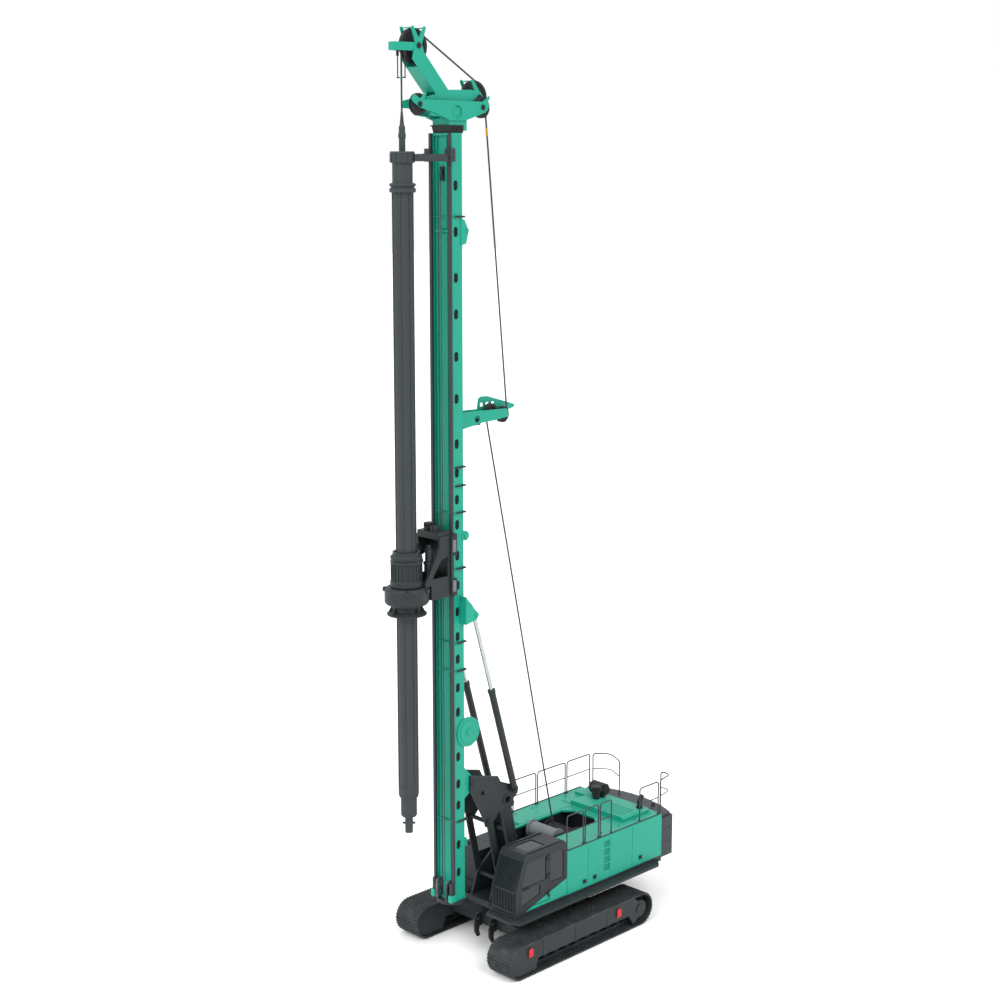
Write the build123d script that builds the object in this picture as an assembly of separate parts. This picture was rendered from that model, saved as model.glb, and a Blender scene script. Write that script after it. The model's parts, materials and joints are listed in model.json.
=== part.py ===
from build123d import *
from collections import namedtuple
import math
import os

# Rotary piling rig on tracks, with a Kelly bar, full size in millimetres.
# +X points forward to the Kelly bar, +Y to the cab side, +Z up, and the ground is z = 0.
# Every size below is measured from the slew axis. save shifts the finished pieces so
# that the origin lies under the middle of the whole machine.

os.makedirs("parts", exist_ok=True)

# Clearances that many pieces share
FIT = 0.05
PAD_FIT = 0.3
SIDE_PLAY = 5.0
OPEN_PLAY = 15.0

# Undercarriage
TRACK_LENGTH = 5900.0
TRACK_HEIGHT = 980.0
TRACK_SPREAD = 4600.0
SHOE_WIDTH = 900.0
SHOE_COUNT = 64
GROUSER = 26.0
SHOE_THICK = 34.0
CHAIN_WIDTH = 260.0
CHAIN_DEPTH = 95.0
COVER_GAP = 26.0
COVER_INSET = 60.0
COVER_SHORT = 420.0
ROLLER_RADIUS = 105.0
ROLLER_HALF = 150.0
CARRIER_RADIUS = 66.0
ROLLER_COUNT = 9
ROLLER_END = 1230.0
ROLLER_SPAN = TRACK_LENGTH - 2 * ROLLER_END
CAR_RISE = 200.0
RING_RADIUS = 860.0
RING_HEIGHT = 120.0

TRACK_MID = (TRACK_SPREAD - SHOE_WIDTH) / 2
TRACK_IN = TRACK_MID - SHOE_WIDTH / 2
TRACK_OUT = TRACK_SPREAD / 2
WHEEL_X = (TRACK_LENGTH - TRACK_HEIGHT) / 2
WHEEL_Z = TRACK_HEIGHT / 2
CHAIN_INNER = GROUSER + SHOE_THICK + CHAIN_DEPTH
RING_BOTTOM = TRACK_HEIGHT + CAR_RISE
RING_TOP = RING_BOTTOM + RING_HEIGHT

# Upper structure: deck, housings and tail
DECK_THICK = 176.0
BODY_HEIGHT = 1294.0
BODY_SIDE = 1624.0
BODY_REAR = -4110.0
BODY_INNER = 760.0
TAIL_LENGTH = 870.0
LEDGE_WIDTH = 250.0
LEDGE_THICK = 80.0
WEB_Y = 330.0
WEB_THICK = 60.0
DECK_BOTTOM = RING_TOP
DECK_TOP = DECK_BOTTOM + DECK_THICK
BODY_TOP = DECK_TOP + BODY_HEIGHT
TAIL_REACH = TAIL_LENGTH - BODY_REAR

# Cab
CAB_REAR = 20.0
CAB_LENGTH = 2020.0
CAB_WIDTH = 934.0
CAB_HEIGHT = 1644.0
CAB_WALL = 60.0
LEAN = 0.375
UPRIGHT = 674.0
CAB_FRONT = CAB_REAR + CAB_LENGTH
CAB_INNER = BODY_SIDE - CAB_WIDTH
CAB_TOP = DECK_TOP + CAB_HEIGHT
LEAN_START = DECK_TOP + UPRIGHT

# Linkage pins, as (x, z), each placed from the one that carries it
BOOM_PIN = (740.0, DECK_TOP + 1004.0)
LINK_PIN = (1450.0, DECK_TOP + 524.0)
BOOM_CYL_BASE = (330.0, DECK_TOP + 304.0)
CRADLE_BORE = (BOOM_PIN[0] + 400.0, BOOM_PIN[1] + 1800.0)
BOOM_CYL_EYE = (CRADLE_BORE[0] - 380.0, CRADLE_BORE[1] - 270.0)
MAST_PIN = (CRADLE_BORE[0] + 1280.0, CRADLE_BORE[1] + 780.0)
MAST_CYL_BASE = (CRADLE_BORE[0] - 180.0, CRADLE_BORE[1] + 280.0)
MAST_CYL_EYE = (MAST_PIN[0] + 100.0, MAST_PIN[1] + 4790.0)
BOOM_PIN_RADIUS = 80.0
LINK_PIN_RADIUS = 60.0
CYL_PIN_RADIUS = 60.0
EYE_PIN_RADIUS = 55.0
MAST_PIN_RADIUS = 80.0
BORE_RADIUS = 150.0
CYL_OUT = 170.0
CYL_Y = WEB_Y + CYL_OUT
BOOM_BAR = 115.0
LINK_BAR = 45.0
CRADLE_THICK = 55.0

# Mast: the column's back stands behind its pin by MAST_STANDOFF
MAST_STANDOFF = 330.0
MAST_DEPTH = 450.0
MAST_SIDE = 395.0
MAST_DROP = 3210.0
MAST_LENGTH = 20530.0
RAIL = 62.0
RAIL_WIDTH = 85.0
RAIL_LIP = 35.0
CHANNEL_DEPTH = 60.0
HOLE_WIDTH = 150.0
HOLE_HEIGHT = 260.0
MAST_REAR = MAST_PIN[0] + MAST_STANDOFF
MAST_FRONT = MAST_REAR + MAST_DEPTH
MAST_BOTTOM = MAST_PIN[1] - MAST_DROP
MAST_TOP = MAST_BOTTOM + MAST_LENGTH
COLUMN_SIDE = MAST_SIDE - RAIL_LIP

# Kelly bar and rotary drive
KELLY_OUT = 1250.0
KELLY_RADIUS = 255.0
KELLY_WALL = 50.0
KELLY_DROP = 480.0
KELLY_LENGTH = 16750.0
COLLAR_LENGTH = 550.0
STUB_LENGTH = 430.0
STUB_WIDTH = 200.0
DRIVE_RISE = 8280.0
CASE_RADIUS = 580.0
CASE_HEIGHT = 440.0
SLEEVE_RADIUS = 400.0
SLEEVE_BORE = 295.0
SKIRT_HEIGHT = 290.0
KELLY_X = MAST_FRONT + KELLY_OUT
KELLY_TOP = MAST_TOP - KELLY_DROP
KELLY_END = KELLY_TOP - KELLY_LENGTH
STUB_TOP = KELLY_END - COLLAR_LENGTH
STUB_END = STUB_TOP - STUB_LENGTH
DRIVE_BOTTOM = MAST_BOTTOM + DRIVE_RISE
CASE_BOTTOM = DRIVE_BOTTOM + SKIRT_HEIGHT
CASE_TOP = CASE_BOTTOM + CASE_HEIGHT
SLEW_X = (TAIL_REACH - KELLY_X - CASE_RADIUS) / 2


def span(x, y, z):
    """A box between the two values of each of x, y and z."""
    size = [b - a for a, b in (x, y, z)]
    return Pos(*[(a + b) / 2 for a, b in (x, y, z)]) * Box(*size)


def plate_y(outline, y0, y1):
    """A plate between two values of y, from its outline in (x, z)."""
    face = Plane.XZ.offset(-y1) * Polygon(*outline, align=None)
    return extrude(face, amount=y1 - y0, dir=(0, -1, 0))


def plate_z(outline, z0, z1):
    """A plate between two values of z, from its outline in (x, y)."""
    face = Plane.XY.offset(z0) * Polygon(*outline, align=None)
    return extrude(face, amount=z1 - z0, dir=(0, 0, 1))


def plate_x(outline, x0, x1):
    """A plate between two values of x, from its outline in (y, z)."""
    face = Plane.YZ.offset(x0) * Polygon(*outline, align=None)
    return extrude(face, amount=x1 - x0, dir=(1, 0, 0))


def rod(start, end, radius):
    """A round bar between two points."""
    axis = Vector(*end) - Vector(*start)
    bar = Cylinder(radius, axis.length, align=(Align.CENTER, Align.CENTER, Align.MIN))
    return Plane(origin=start, z_dir=axis) * bar


def rod_y(x, z, radius, y0, y1):
    """A round bar along Y."""
    return Pos(x, (y0 + y1) / 2, z) * Rot(90, 0, 0) * Cylinder(radius, y1 - y0)


def rod_z(x, y, radius, z0, z1):
    """A round bar along Z."""
    return Pos(x, y, (z0 + z1) / 2) * Cylinder(radius, z1 - z0)


def turned_y(x, y, z, profile):
    """A turned piece about the Y direction, from its half section in (radius, y)."""
    return Pos(x, y, z) * revolve(Polygon(*profile, align=None), Axis.Y, 360)


def turned_z(x, y, profile):
    """A turned piece about the Z direction, from its half section in (radius, z)."""
    return Pos(x, y, 0) * revolve(Plane.XZ * Polygon(*profile, align=None), Axis.Z, 360)


def fuse(shapes):
    """All shapes joined into one."""
    result = shapes[0]
    for shape in shapes[1:]:
        result = result + shape
    return result


def drill_y(shape, at, radius):
    """The shape with a round hole along Y at (x, z)."""
    return shape - rod_y(at[0], at[1], radius, -3000, 3000)


def both_sides(shapes):
    """The shapes and their mirror images across the middle plane y = 0."""
    return list(shapes) + [mirror(shape, about=Plane.XZ) for shape in shapes]


def around(point, offsets):
    """An outline in absolute values, from its offsets about a point."""
    return [(point[0] + dx, point[1] + dz) for dx, dz in offsets]


def save(name, shapes):
    """Joins what touches, shifts it to the machine's middle and writes it."""
    export_step(Pos(SLEW_X, 0, 0) * fuse(list(shapes)), f"parts/{name}.step")


# Undercarriage pieces

def belt_point(distance, depth):
    """The point at a distance along the track's outline and a depth inside it, as (x, z)."""
    radius = TRACK_HEIGHT / 2
    straight = TRACK_LENGTH - TRACK_HEIGHT
    half = straight / 2
    bend = math.pi * radius
    s = distance % (2 * straight + 2 * bend)
    inner = radius - depth
    if s < straight:
        return (-half + s, radius + inner)
    s -= straight
    if s < bend:
        a = math.pi / 2 - s / radius
        return (half + inner * math.cos(a), radius + inner * math.sin(a))
    s -= bend
    if s < straight:
        return (half - s, radius - inner)
    a = -math.pi / 2 - (s - straight) / radius
    return (-half + inner * math.cos(a), radius + inner * math.sin(a))


# One shoe's outer profile: columns are part of the pitch, and 1 where it lies a grouser deep
SHOE_STEPS = ((0.02, 1), (0.05, 0), (0.13, 0), (0.16, 1), (0.52, 1), (0.55, 0), (0.63, 0), (0.66, 1))


def belt_outline():
    """The track's outer outline: each shoe has two low grousers with flat ground between them."""
    length = 2 * (TRACK_LENGTH - TRACK_HEIGHT) + math.pi * TRACK_HEIGHT
    pitch = length / SHOE_COUNT
    points = []
    for shoe in range(SHOE_COUNT):
        for part, low in SHOE_STEPS:
            points.append(belt_point((shoe + part) * pitch, GROUSER * low))
    return points


BEND_STEPS = 16


def stadium(depth, shorten=0.0):
    """A rounded outline inside the track at a depth, with its straight run shortened at the rear."""
    radius = TRACK_HEIGHT / 2
    inner = radius - depth
    half = (TRACK_LENGTH - TRACK_HEIGHT) / 2
    points = []
    for middle, start in ((half, -math.pi / 2), (-half + shorten, math.pi / 2)):
        for i in range(BEND_STEPS + 1):
            a = start + math.pi * i / BEND_STEPS
            points.append((middle + inner * math.cos(a), radius + inner * math.sin(a)))
    return points


def track():
    """One closed track: shoes with grousers over the narrower chain."""
    overlap = 5
    shoes = plate_y(belt_outline(), TRACK_IN, TRACK_OUT)
    shoes = shoes - plate_y(stadium(GROUSER + SHOE_THICK), TRACK_IN - 1, TRACK_OUT + 1)
    half = CHAIN_WIDTH / 2
    chain = plate_y(stadium(GROUSER + overlap), TRACK_MID - half, TRACK_MID + half)
    chain = chain - plate_y(stadium(CHAIN_INNER), TRACK_IN, TRACK_OUT)
    return fuse([shoes, chain])


BEAM_HALF = 200.0
FORK_THICK = 30.0
FORK_HALF = 100.0
ROLLER_GAP = 15.0
CARRIER_GAP = 3.0
FRAME_BOTTOM = CHAIN_INNER + 2 * ROLLER_RADIUS + ROLLER_GAP
FRAME_TOP = TRACK_HEIGHT - CHAIN_INNER - 2 * CARRIER_RADIUS - CARRIER_GAP
FRAME_REAR = -WHEEL_X + 340.0
FRAME_FRONT = WHEEL_X - 430.0
SEAM = 16.0
FRAME_SEAMS = (-1000.0, 300.0, 1600.0)
COVER_REAR = FRAME_REAR + 150.0
COVER_FRONT = FRAME_FRONT - 250.0
COVER_LIP = 30.0


def track_frame():
    """The long side frame between flush covers, with the forks that hold both end wheels."""
    inner, outer = TRACK_MID - BEAM_HALF, TRACK_MID + BEAM_HALF
    core = span((FRAME_REAR, FRAME_FRONT), (inner, outer), (FRAME_BOTTOM, FRAME_TOP))
    outline = stadium(GROUSER + SHOE_THICK + COVER_GAP, COVER_SHORT)
    covers = [plate_y(outline, outer, TRACK_OUT - COVER_INSET),
              plate_y(outline, TRACK_IN + COVER_INSET, inner)]
    below = plate_y([(COVER_REAR - 250, -1), (COVER_FRONT + 150, -1), (COVER_FRONT, FRAME_BOTTOM + COVER_LIP),
                     (COVER_REAR, FRAME_BOTTOM + COVER_LIP)], TRACK_IN - 1, TRACK_OUT + 1)
    covers = [cover - below for cover in covers]
    height = (WHEEL_Z - FORK_HALF, WHEEL_Z + FORK_HALF)
    forks = []
    for x in ((-WHEEL_X - 60, FRAME_REAR), (FRAME_FRONT, WHEEL_X + 120)):
        forks.append(span(x, (inner, inner + FORK_THICK), height))
        forks.append(span(x, (outer - FORK_THICK, outer), height))
    bosses = [rod_y(-WHEEL_X, WHEEL_Z, 250, outer - FORK_THICK, TRACK_OUT - COVER_INSET),
              rod_y(-WHEEL_X, WHEEL_Z, 150, TRACK_OUT - COVER_INSET, TRACK_OUT - COVER_INSET + 25)]
    shape = fuse([core] + covers + forks + bosses)
    edge = TRACK_OUT - COVER_INSET
    for x in FRAME_SEAMS:
        shape = shape - span((x - SEAM / 2, x + SEAM / 2), (edge - 10, edge + 10),
                             (COVER_GAP + 94, TRACK_HEIGHT - COVER_GAP - 94))
    return shape


def rollers():
    """Lower and upper track rollers, each seated in the side frame."""
    shapes = []
    z = CHAIN_INNER + ROLLER_RADIUS
    low, high = TRACK_MID - ROLLER_HALF, TRACK_MID + ROLLER_HALF
    for i in range(ROLLER_COUNT):
        x = FRAME_REAR + 360 + i * ROLLER_SPAN / (ROLLER_COUNT - 1)
        shapes.append(rod_y(x, z, ROLLER_RADIUS, low, high))
        shapes.append(span((x - 70, x + 70), (low + 30, high - 30), (z, FRAME_BOTTOM)))
    z = TRACK_HEIGHT - CHAIN_INNER - CARRIER_RADIUS
    for x in (-1100, 900):
        shapes.append(rod_y(x, z, CARRIER_RADIUS, low, high))
        shapes.append(span((x - 45, x + 45), (TRACK_MID - 60, TRACK_MID + 60), (FRAME_TOP, z)))
    return shapes


WHEEL_HUB = 150.0


def track_wheel(x, gap, width, teeth):
    """An idler, or a sprocket with teeth, at one end of the track, held between the forks."""
    radius = TRACK_HEIGHT / 2 - CHAIN_INNER - gap
    wheel = rod_y(x, WHEEL_Z, radius, TRACK_MID - width / 2, TRACK_MID + width / 2)
    reach = BEAM_HALF - FORK_THICK
    shapes = [wheel, rod_y(x, WHEEL_Z, WHEEL_HUB, TRACK_MID - reach, TRACK_MID + reach)]
    for i in range(teeth):
        tooth = span((radius - 20, radius + gap - 3), (TRACK_MID - 35, TRACK_MID + 35), (-26, 26))
        shapes.append(Pos(x, 0, WHEEL_Z) * Rot(0, 360 * i / teeth, 0) * tooth)
    return fuse(shapes)


TOW_OUTLINE = [(-10, -40), (-10, 290), (110, 370), (230, 300), (280, 60), (270, -180), (180, -340),
               (70, -330),
               (120, -160), (90, -40)]
TOW_Y = 290.0
TOW_THICK = 50.0
TOW_EYE = 45.0
BEAM_X = 1150.0
BEAM_LENGTH = 660.0
BEAM_TOP = 800.0
BEAM_BOTTOM = 500.0
BELLY = 420.0


def car_body():
    """The middle of the undercarriage: ring tower, two cross beams and front tow plates."""
    tower = [rod_z(0, 0, RING_RADIUS + 90, BEAM_TOP - 100, RING_BOTTOM),
             span((-RING_RADIUS - 40, RING_RADIUS + 40), (-RING_RADIUS - 40, RING_RADIUS + 40),
                  (BELLY, BEAM_TOP + 180))]
    reach = TRACK_IN + COVER_INSET
    beams = []
    for x in (-BEAM_X, BEAM_X):
        x0, x1 = x - BEAM_LENGTH / 2, x + BEAM_LENGTH / 2
        beams.append(plate_x([(-reach, BEAM_BOTTOM), (reach, BEAM_BOTTOM), (reach, BEAM_TOP - 120),
                              (reach - 300, BEAM_TOP), (-reach + 300, BEAM_TOP), (-reach, BEAM_TOP - 120)],
                             x0, x1))
    tow = around((BEAM_X + BEAM_LENGTH / 2, BEAM_BOTTOM), TOW_OUTLINE)
    plate = drill_y(plate_y(tow, TOW_Y - TOW_THICK / 2, TOW_Y + TOW_THICK / 2),
                    (tow[3][0] - 80, tow[3][1] - 110), TOW_EYE)
    return fuse(tower + beams + both_sides([plate]))


save("track_left", [track()])
save("track_right", [mirror(track(), about=Plane.XZ)])
save("track_frame_left", [track_frame()])
save("track_frame_right", [mirror(track_frame(), about=Plane.XZ)])
save("track_rollers", both_sides([fuse(rollers())]))
save("track_idlers", both_sides([track_wheel(WHEEL_X, 4.0, 150, 0)]))
save("track_sprockets", both_sides([track_wheel(-WHEEL_X, 45.0, 80, 19)]))
save("car_body", [car_body()])
save("slew_ring", [rod_z(0, 0, RING_RADIUS, RING_BOTTOM, RING_TOP)])


# Upper structure pieces

WEB_REAR = -700.0
NOSE = 1900.0
NOSE_HALF = 420.0
FAR_FRONT = 1200.0
CAB_APRON = 40.0
APRON_INNER = 640.0


def ledge(front, side):
    """The walkway along one side of the deck, from a pointed rear end to its front."""
    near, far = BODY_SIDE, BODY_SIDE + LEDGE_WIDTH
    rear = BODY_REAR + 140
    outline = [(rear, near), (rear + 260, far), (front, far), (front + 130, near),
               (front + 130, APRON_INNER + 60),
               (front, APRON_INNER), (front - 60, APRON_INNER), (front - 60, near)]
    if side < 0:
        outline = [(rear, near), (rear + 260, far), (front - 200, far), (front, near)]
    outline = [(x, side * y) for x, y in outline]
    return plate_z(outline, DECK_BOTTOM, DECK_BOTTOM + LEDGE_THICK)


def upper_frame():
    """Deck with its walkways, and the two webs that carry the boom, link and cylinder pins."""
    deck = plate_z([(BODY_REAR, -BODY_SIDE), (FAR_FRONT, -BODY_SIDE), (FAR_FRONT, -NOSE_HALF),
                    (NOSE, -NOSE_HALF),
                    (NOSE, NOSE_HALF), (NOSE - 200, APRON_INNER), (CAB_FRONT + CAB_APRON, APRON_INNER),
                    (CAB_FRONT + CAB_APRON, BODY_SIDE), (BODY_REAR, BODY_SIDE)], DECK_BOTTOM, DECK_TOP)
    web = [(WEB_REAR, DECK_TOP), (WEB_REAR, BOOM_PIN[1] - 230), (BOOM_PIN[0] - 260, BOOM_PIN[1] + 160),
           (BOOM_PIN[0] + 150, BOOM_PIN[1] + 160), (LINK_PIN[0] + 60, LINK_PIN[1] + 160),
           (LINK_PIN[0] + 170, LINK_PIN[1]), (NOSE - 100, DECK_TOP)]
    webs = both_sides([plate_y(web, WEB_Y, WEB_Y + WEB_THICK)])
    inner = WEB_Y - SIDE_PLAY - 10 - BOOM_BAR - 10
    pins = both_sides([rod_y(BOOM_PIN[0], BOOM_PIN[1], BOOM_PIN_RADIUS, inner, WEB_Y + WEB_THICK + 20)])
    link_end = WEB_Y + WEB_THICK + SIDE_PLAY + LINK_BAR + 15
    base_end = WEB_Y + WEB_THICK - 30
    pins += [rod_y(LINK_PIN[0], LINK_PIN[1], LINK_PIN_RADIUS, -link_end, link_end),
             rod_y(BOOM_CYL_BASE[0], BOOM_CYL_BASE[1], CYL_PIN_RADIUS, -base_end, base_end)]
    base = rod_z(0, 0, RING_RADIUS + 40, RING_TOP, DECK_TOP)
    ledges = [ledge(CAB_FRONT + CAB_APRON + 60, 1), ledge(FAR_FRONT, -1)]
    return fuse([deck] + webs + pins + [base] + ledges)


HOUSING_FRONT = CAB_REAR - 30.0
FAR_HOUSING_FRONT = BODY_REAR + 3550.0
TANK_HEIGHT = 944.0
PANEL_SEAM = 14.0
SEAM_DEPTH = 8.0
PANEL_SEAMS = (BODY_REAR + 3230.0, BODY_REAR + 2290.0, BODY_REAR + 1320.0)
LOUVRE = (BODY_REAR + 2320.0, BODY_REAR + 2550.0)
LOUVRE_COUNT = 4
LOUVRE_STEP = 235.0
LOUVRE_HEIGHT = 185.0
LOUVRE_DEPTH = 30.0
EAVE = 50.0
LATCH_FEET = ((BODY_REAR + 3380.0, 200.0), (BODY_REAR + 2950.0, 210.0), (BODY_REAR + 960.0, 220.0))


def housing(front, side):
    """One long housing: bevelled eave, panel seams, a column of louvred windows and its latches."""
    section = [(BODY_INNER, DECK_TOP), (BODY_SIDE, DECK_TOP), (BODY_SIDE, BODY_TOP - EAVE),
               (BODY_SIDE - EAVE / 2, BODY_TOP), (BODY_INNER, BODY_TOP)]
    shape = plate_x(section, BODY_REAR, front)
    skin = (BODY_SIDE - SEAM_DEPTH, BODY_SIDE + 1)
    for x in PANEL_SEAMS:
        shape = shape - span((x - PANEL_SEAM / 2, x + PANEL_SEAM / 2), skin,
                             (DECK_TOP + 60, BODY_TOP - EAVE - 10))
    for i in range(LOUVRE_COUNT):
        z = DECK_TOP + 250 + i * LOUVRE_STEP
        shape = shape - span(LOUVRE, (BODY_SIDE - LOUVRE_DEPTH, BODY_SIDE + 1), (z, z + LOUVRE_HEIGHT))
        for slat in (0.25, 0.5, 0.75):
            height = z + slat * LOUVRE_HEIGHT
            shape = shape + span(LOUVRE, (BODY_SIDE - LOUVRE_DEPTH, BODY_SIDE - 8), (height - 8, height + 8))
    for x, foot in LATCH_FEET:
        shape = shape + span((x - 50, x + 50), (BODY_SIDE - 1, BODY_SIDE + 12),
                             (DECK_TOP + foot - 35, DECK_TOP + foot + 35))
    if side < 0:
        shape = mirror(shape, about=Plane.XZ)
    return shape


def tank_box():
    """The dark tank and tool box in front of the far housing, with its lid's seam and filler."""
    top = DECK_TOP + TANK_HEIGHT
    front = FAR_FRONT - 50
    box = span((FAR_HOUSING_FRONT, front), (-BODY_SIDE, -BODY_INNER), (DECK_TOP, top))
    box = box - span((front - 700, front - 686), (-BODY_SIDE - 1, -BODY_INNER + 1), (top - 8, top + 1))
    box = box - span((front - 8, front + 1), (-BODY_SIDE - 1, -BODY_INNER + 1), (top - 330, top - 316))
    filler = rod_z(front - 300, -BODY_SIDE + 260, 90, top, top + 70)
    return fuse([box, filler])


HOOD_FRONT = BODY_REAR + 1390.0
HOOD_STEP = BODY_REAR + 610.0
HOOD_SIDE = 1300.0
HOOD_RISE = 160.0
HOOD_LOW = 90.0
WELL_FLOOR = 974.0


def engine_hood():
    """The raised hood across the rear, its lower tail step and the middle floor between the housings."""
    floor = DECK_TOP + WELL_FLOOR
    middle = span((BODY_REAR, HOOD_FRONT + 120), (-BODY_INNER, BODY_INNER), (floor, BODY_TOP))
    top = BODY_TOP + HOOD_RISE
    raised = plate_x([(-BODY_INNER, BODY_TOP), (HOOD_SIDE, BODY_TOP), (HOOD_SIDE, top - 60),
                      (HOOD_SIDE - 60, top),
                      (-BODY_INNER + 40, top), (-BODY_INNER, top - 40)], HOOD_STEP, HOOD_FRONT)
    tail = plate_z([(HOOD_STEP, -HOOD_SIDE), (HOOD_STEP, HOOD_SIDE), (BODY_REAR + 210, HOOD_SIDE),
                    (BODY_REAR + 110, HOOD_SIDE - 120), (BODY_REAR + 110, -HOOD_SIDE + 120),
                    (BODY_REAR + 210, -HOOD_SIDE)], BODY_TOP, BODY_TOP + HOOD_LOW)
    grille = [span((HOOD_STEP + 80 + i * 110, HOOD_STEP + 130 + i * 110), (200, HOOD_SIDE - 160),
                   (top - 1, top + 14))
              for i in range(6)]
    return fuse([middle, raised, tail] + grille)


WEIGHT_BOTTOM = 76.0
WEIGHT_DROP = 70.0
TAIL_BULGE = 370.0
TAIL_STEPS = 12


def tail_outline(inset=0.0):
    """The counterweight's outline in (x, y): a bulged back between its two flat sides."""
    points = [(BODY_REAR, -BODY_SIDE + inset), (BODY_REAR, BODY_SIDE - inset)]
    for i in range(TAIL_STEPS + 1):
        t = 1 - 2 * i / TAIL_STEPS
        points.append((-TAIL_REACH + inset + TAIL_BULGE * t * t, (BODY_SIDE - inset) * t))
    return points


def counterweight():
    """The tail weight with its bulged back, a stepped top, seams between slabs and lifting eyes."""
    bottom = DECK_TOP - WEIGHT_BOTTOM
    top = BODY_TOP - WEIGHT_DROP
    shape = fuse([plate_z(tail_outline(), bottom, top - 90), plate_z(tail_outline(60), top - 90, top)])
    for part in (0.34, 0.67):
        z = bottom + part * (top - bottom)
        ring = plate_z(tail_outline(-20), z - 6, z + 6) - plate_z(tail_outline(14), z - 7, z + 7)
        shape = shape - ring
    eyes = []
    for y in (-900, 900):
        x = -TAIL_REACH + 420
        eye = plate_y([(x - 90, top), (x - 50, top + 90), (x + 50, top + 90), (x + 90, top)], y - 20, y + 20)
        eyes.append(eye - rod_y(x, top + 45, 26, y - 40, y + 40))
    return fuse([shape] + eyes)


save("upper_frame", [upper_frame()])
save("housing_left", [housing(HOUSING_FRONT, 1)])
save("housing_right", [housing(FAR_HOUSING_FRONT, -1)])
save("tank_box", [tank_box()])
save("engine_hood", [engine_hood()])
save("engine_block", [span((BODY_REAR + 210, HOOD_FRONT + 20), (-600, 600),
                           (DECK_TOP, DECK_TOP + WELL_FLOOR))])
save("counterweight", [counterweight()])


def cab_front(z):
    """The x of the cab's front face at a height: upright, then leaning back."""
    return CAB_FRONT - LEAN * max(0.0, z - LEAN_START)


def front_strip(inner, outer, z0, z1):
    """The outline of a strip along the cab's front, between two distances out from its face."""
    return [(cab_front(z0) + inner, z0), (cab_front(z0) + outer, z0), (CAB_FRONT + outer, LEAN_START),
            (cab_front(z1) + outer, z1), (cab_front(z1) + inner, z1), (CAB_FRONT + inner, LEAN_START)]


ROOF_DROP = 90.0


def cab_outline(inset=0.0):
    """The cab's side outline in (x, z), leaning back at the front."""
    return [(CAB_REAR + inset, DECK_TOP + inset), (CAB_FRONT - inset, DECK_TOP + inset),
            (CAB_FRONT - inset, LEAN_START),
            (cab_front(CAB_TOP - ROOF_DROP) - inset, CAB_TOP - ROOF_DROP - inset),
            (CAB_FRONT - 420 - inset, CAB_TOP - inset), (CAB_REAR + 90 + inset, CAB_TOP - inset),
            (CAB_REAR + inset, CAB_TOP - 120 - inset)]


DOOR_REAR = CAB_REAR + 740.0
DOOR_FRONT = CAB_FRONT - 150.0
DOOR_BOTTOM = DECK_TOP + 124.0
DOOR_TOP = CAB_TOP - 160.0
DOOR_LEAN = 270.0
DOOR_GAP = 6.0
DOOR = [(DOOR_REAR, DOOR_BOTTOM), (DOOR_FRONT, DOOR_BOTTOM), (DOOR_FRONT, LEAN_START),
        (DOOR_FRONT - DOOR_LEAN, DOOR_TOP), (DOOR_REAR, DOOR_TOP)]
FRAME = 90.0
SILL = DOOR_BOTTOM + 600.0
DOOR_WINDOW = [(DOOR_REAR + FRAME, SILL), (DOOR_FRONT - FRAME + 10, SILL),
               (DOOR_FRONT - DOOR_LEAN - FRAME + 50, DOOR_TOP - FRAME),
               (DOOR_REAR + FRAME, DOOR_TOP - FRAME)]
LOW_WINDOW = [(DOOR_REAR + FRAME + 240, DOOR_BOTTOM + 250), (DOOR_FRONT - FRAME + 10, DOOR_BOTTOM + 60),
              (DOOR_FRONT - FRAME + 10, SILL - 70), (DOOR_REAR + FRAME + 240, SILL - 70)]
REAR_WINDOW = [(CAB_REAR + 120, SILL - 140), (DOOR_REAR - 100, SILL - 140),
               (DOOR_REAR - 100, DOOR_TOP - FRAME),
               (CAB_REAR + 120, DOOR_TOP - FRAME)]
PANE = 15.0
PANE_IN = 20.0
HINGE = (DOOR_REAR - 6.0, BODY_SIDE + 22.0)
HINGE_PIN = 10.0
HINGE_FIT = 0.09
HINGE_ARM = 12.0
HINGE_EYE = 16.0
HINGE_Z = 60.0
DOOR_HINGES = (DOOR_BOTTOM + 150.0, DOOR_BOTTOM + 680.0, DOOR_BOTTOM + 1210.0)


def hinge_pin(z):
    """A door hinge's pin on its bracket, fixed to the cab wall behind the door."""
    x, y = HINGE
    pieces = [rod_z(x, y, HINGE_PIN, z - HINGE_Z, z + HINGE_Z)]
    for low in (z - HINGE_Z - HINGE_ARM, z + HINGE_Z):
        pieces.append(rod_z(x, y, HINGE_EYE, low, low + HINGE_ARM))
        pieces.append(span((x - 60, x - 4), (BODY_SIDE, y + HINGE_ARM), (low, low + HINGE_ARM)))
    return fuse(pieces)


def hinge_knuckle(z):
    """The hinge's knuckle on the door, bored for the pin."""
    x, y = HINGE
    low, high = z - HINGE_Z + 6, z + HINGE_Z - 6
    strap = span((x, DOOR_REAR + 60), (BODY_SIDE, y + 6), (low, high))
    bore = rod_z(x, y, HINGE_PIN + HINGE_FIT, z - 200, z + 200)
    return fuse([rod_z(x, y, 2 * HINGE_PIN, low, high), strap]) - bore


def grow(outline, by):
    """An outline grown outward from its own middle box by a margin."""
    xs = [p[0] for p in outline]
    zs = [p[1] for p in outline]
    mx = (min(xs) + max(xs)) / 2
    mz = (min(zs) + max(zs)) / 2
    return [(x + math.copysign(by, x - mx), z + math.copysign(by, z - mz)) for x, z in outline]


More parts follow.
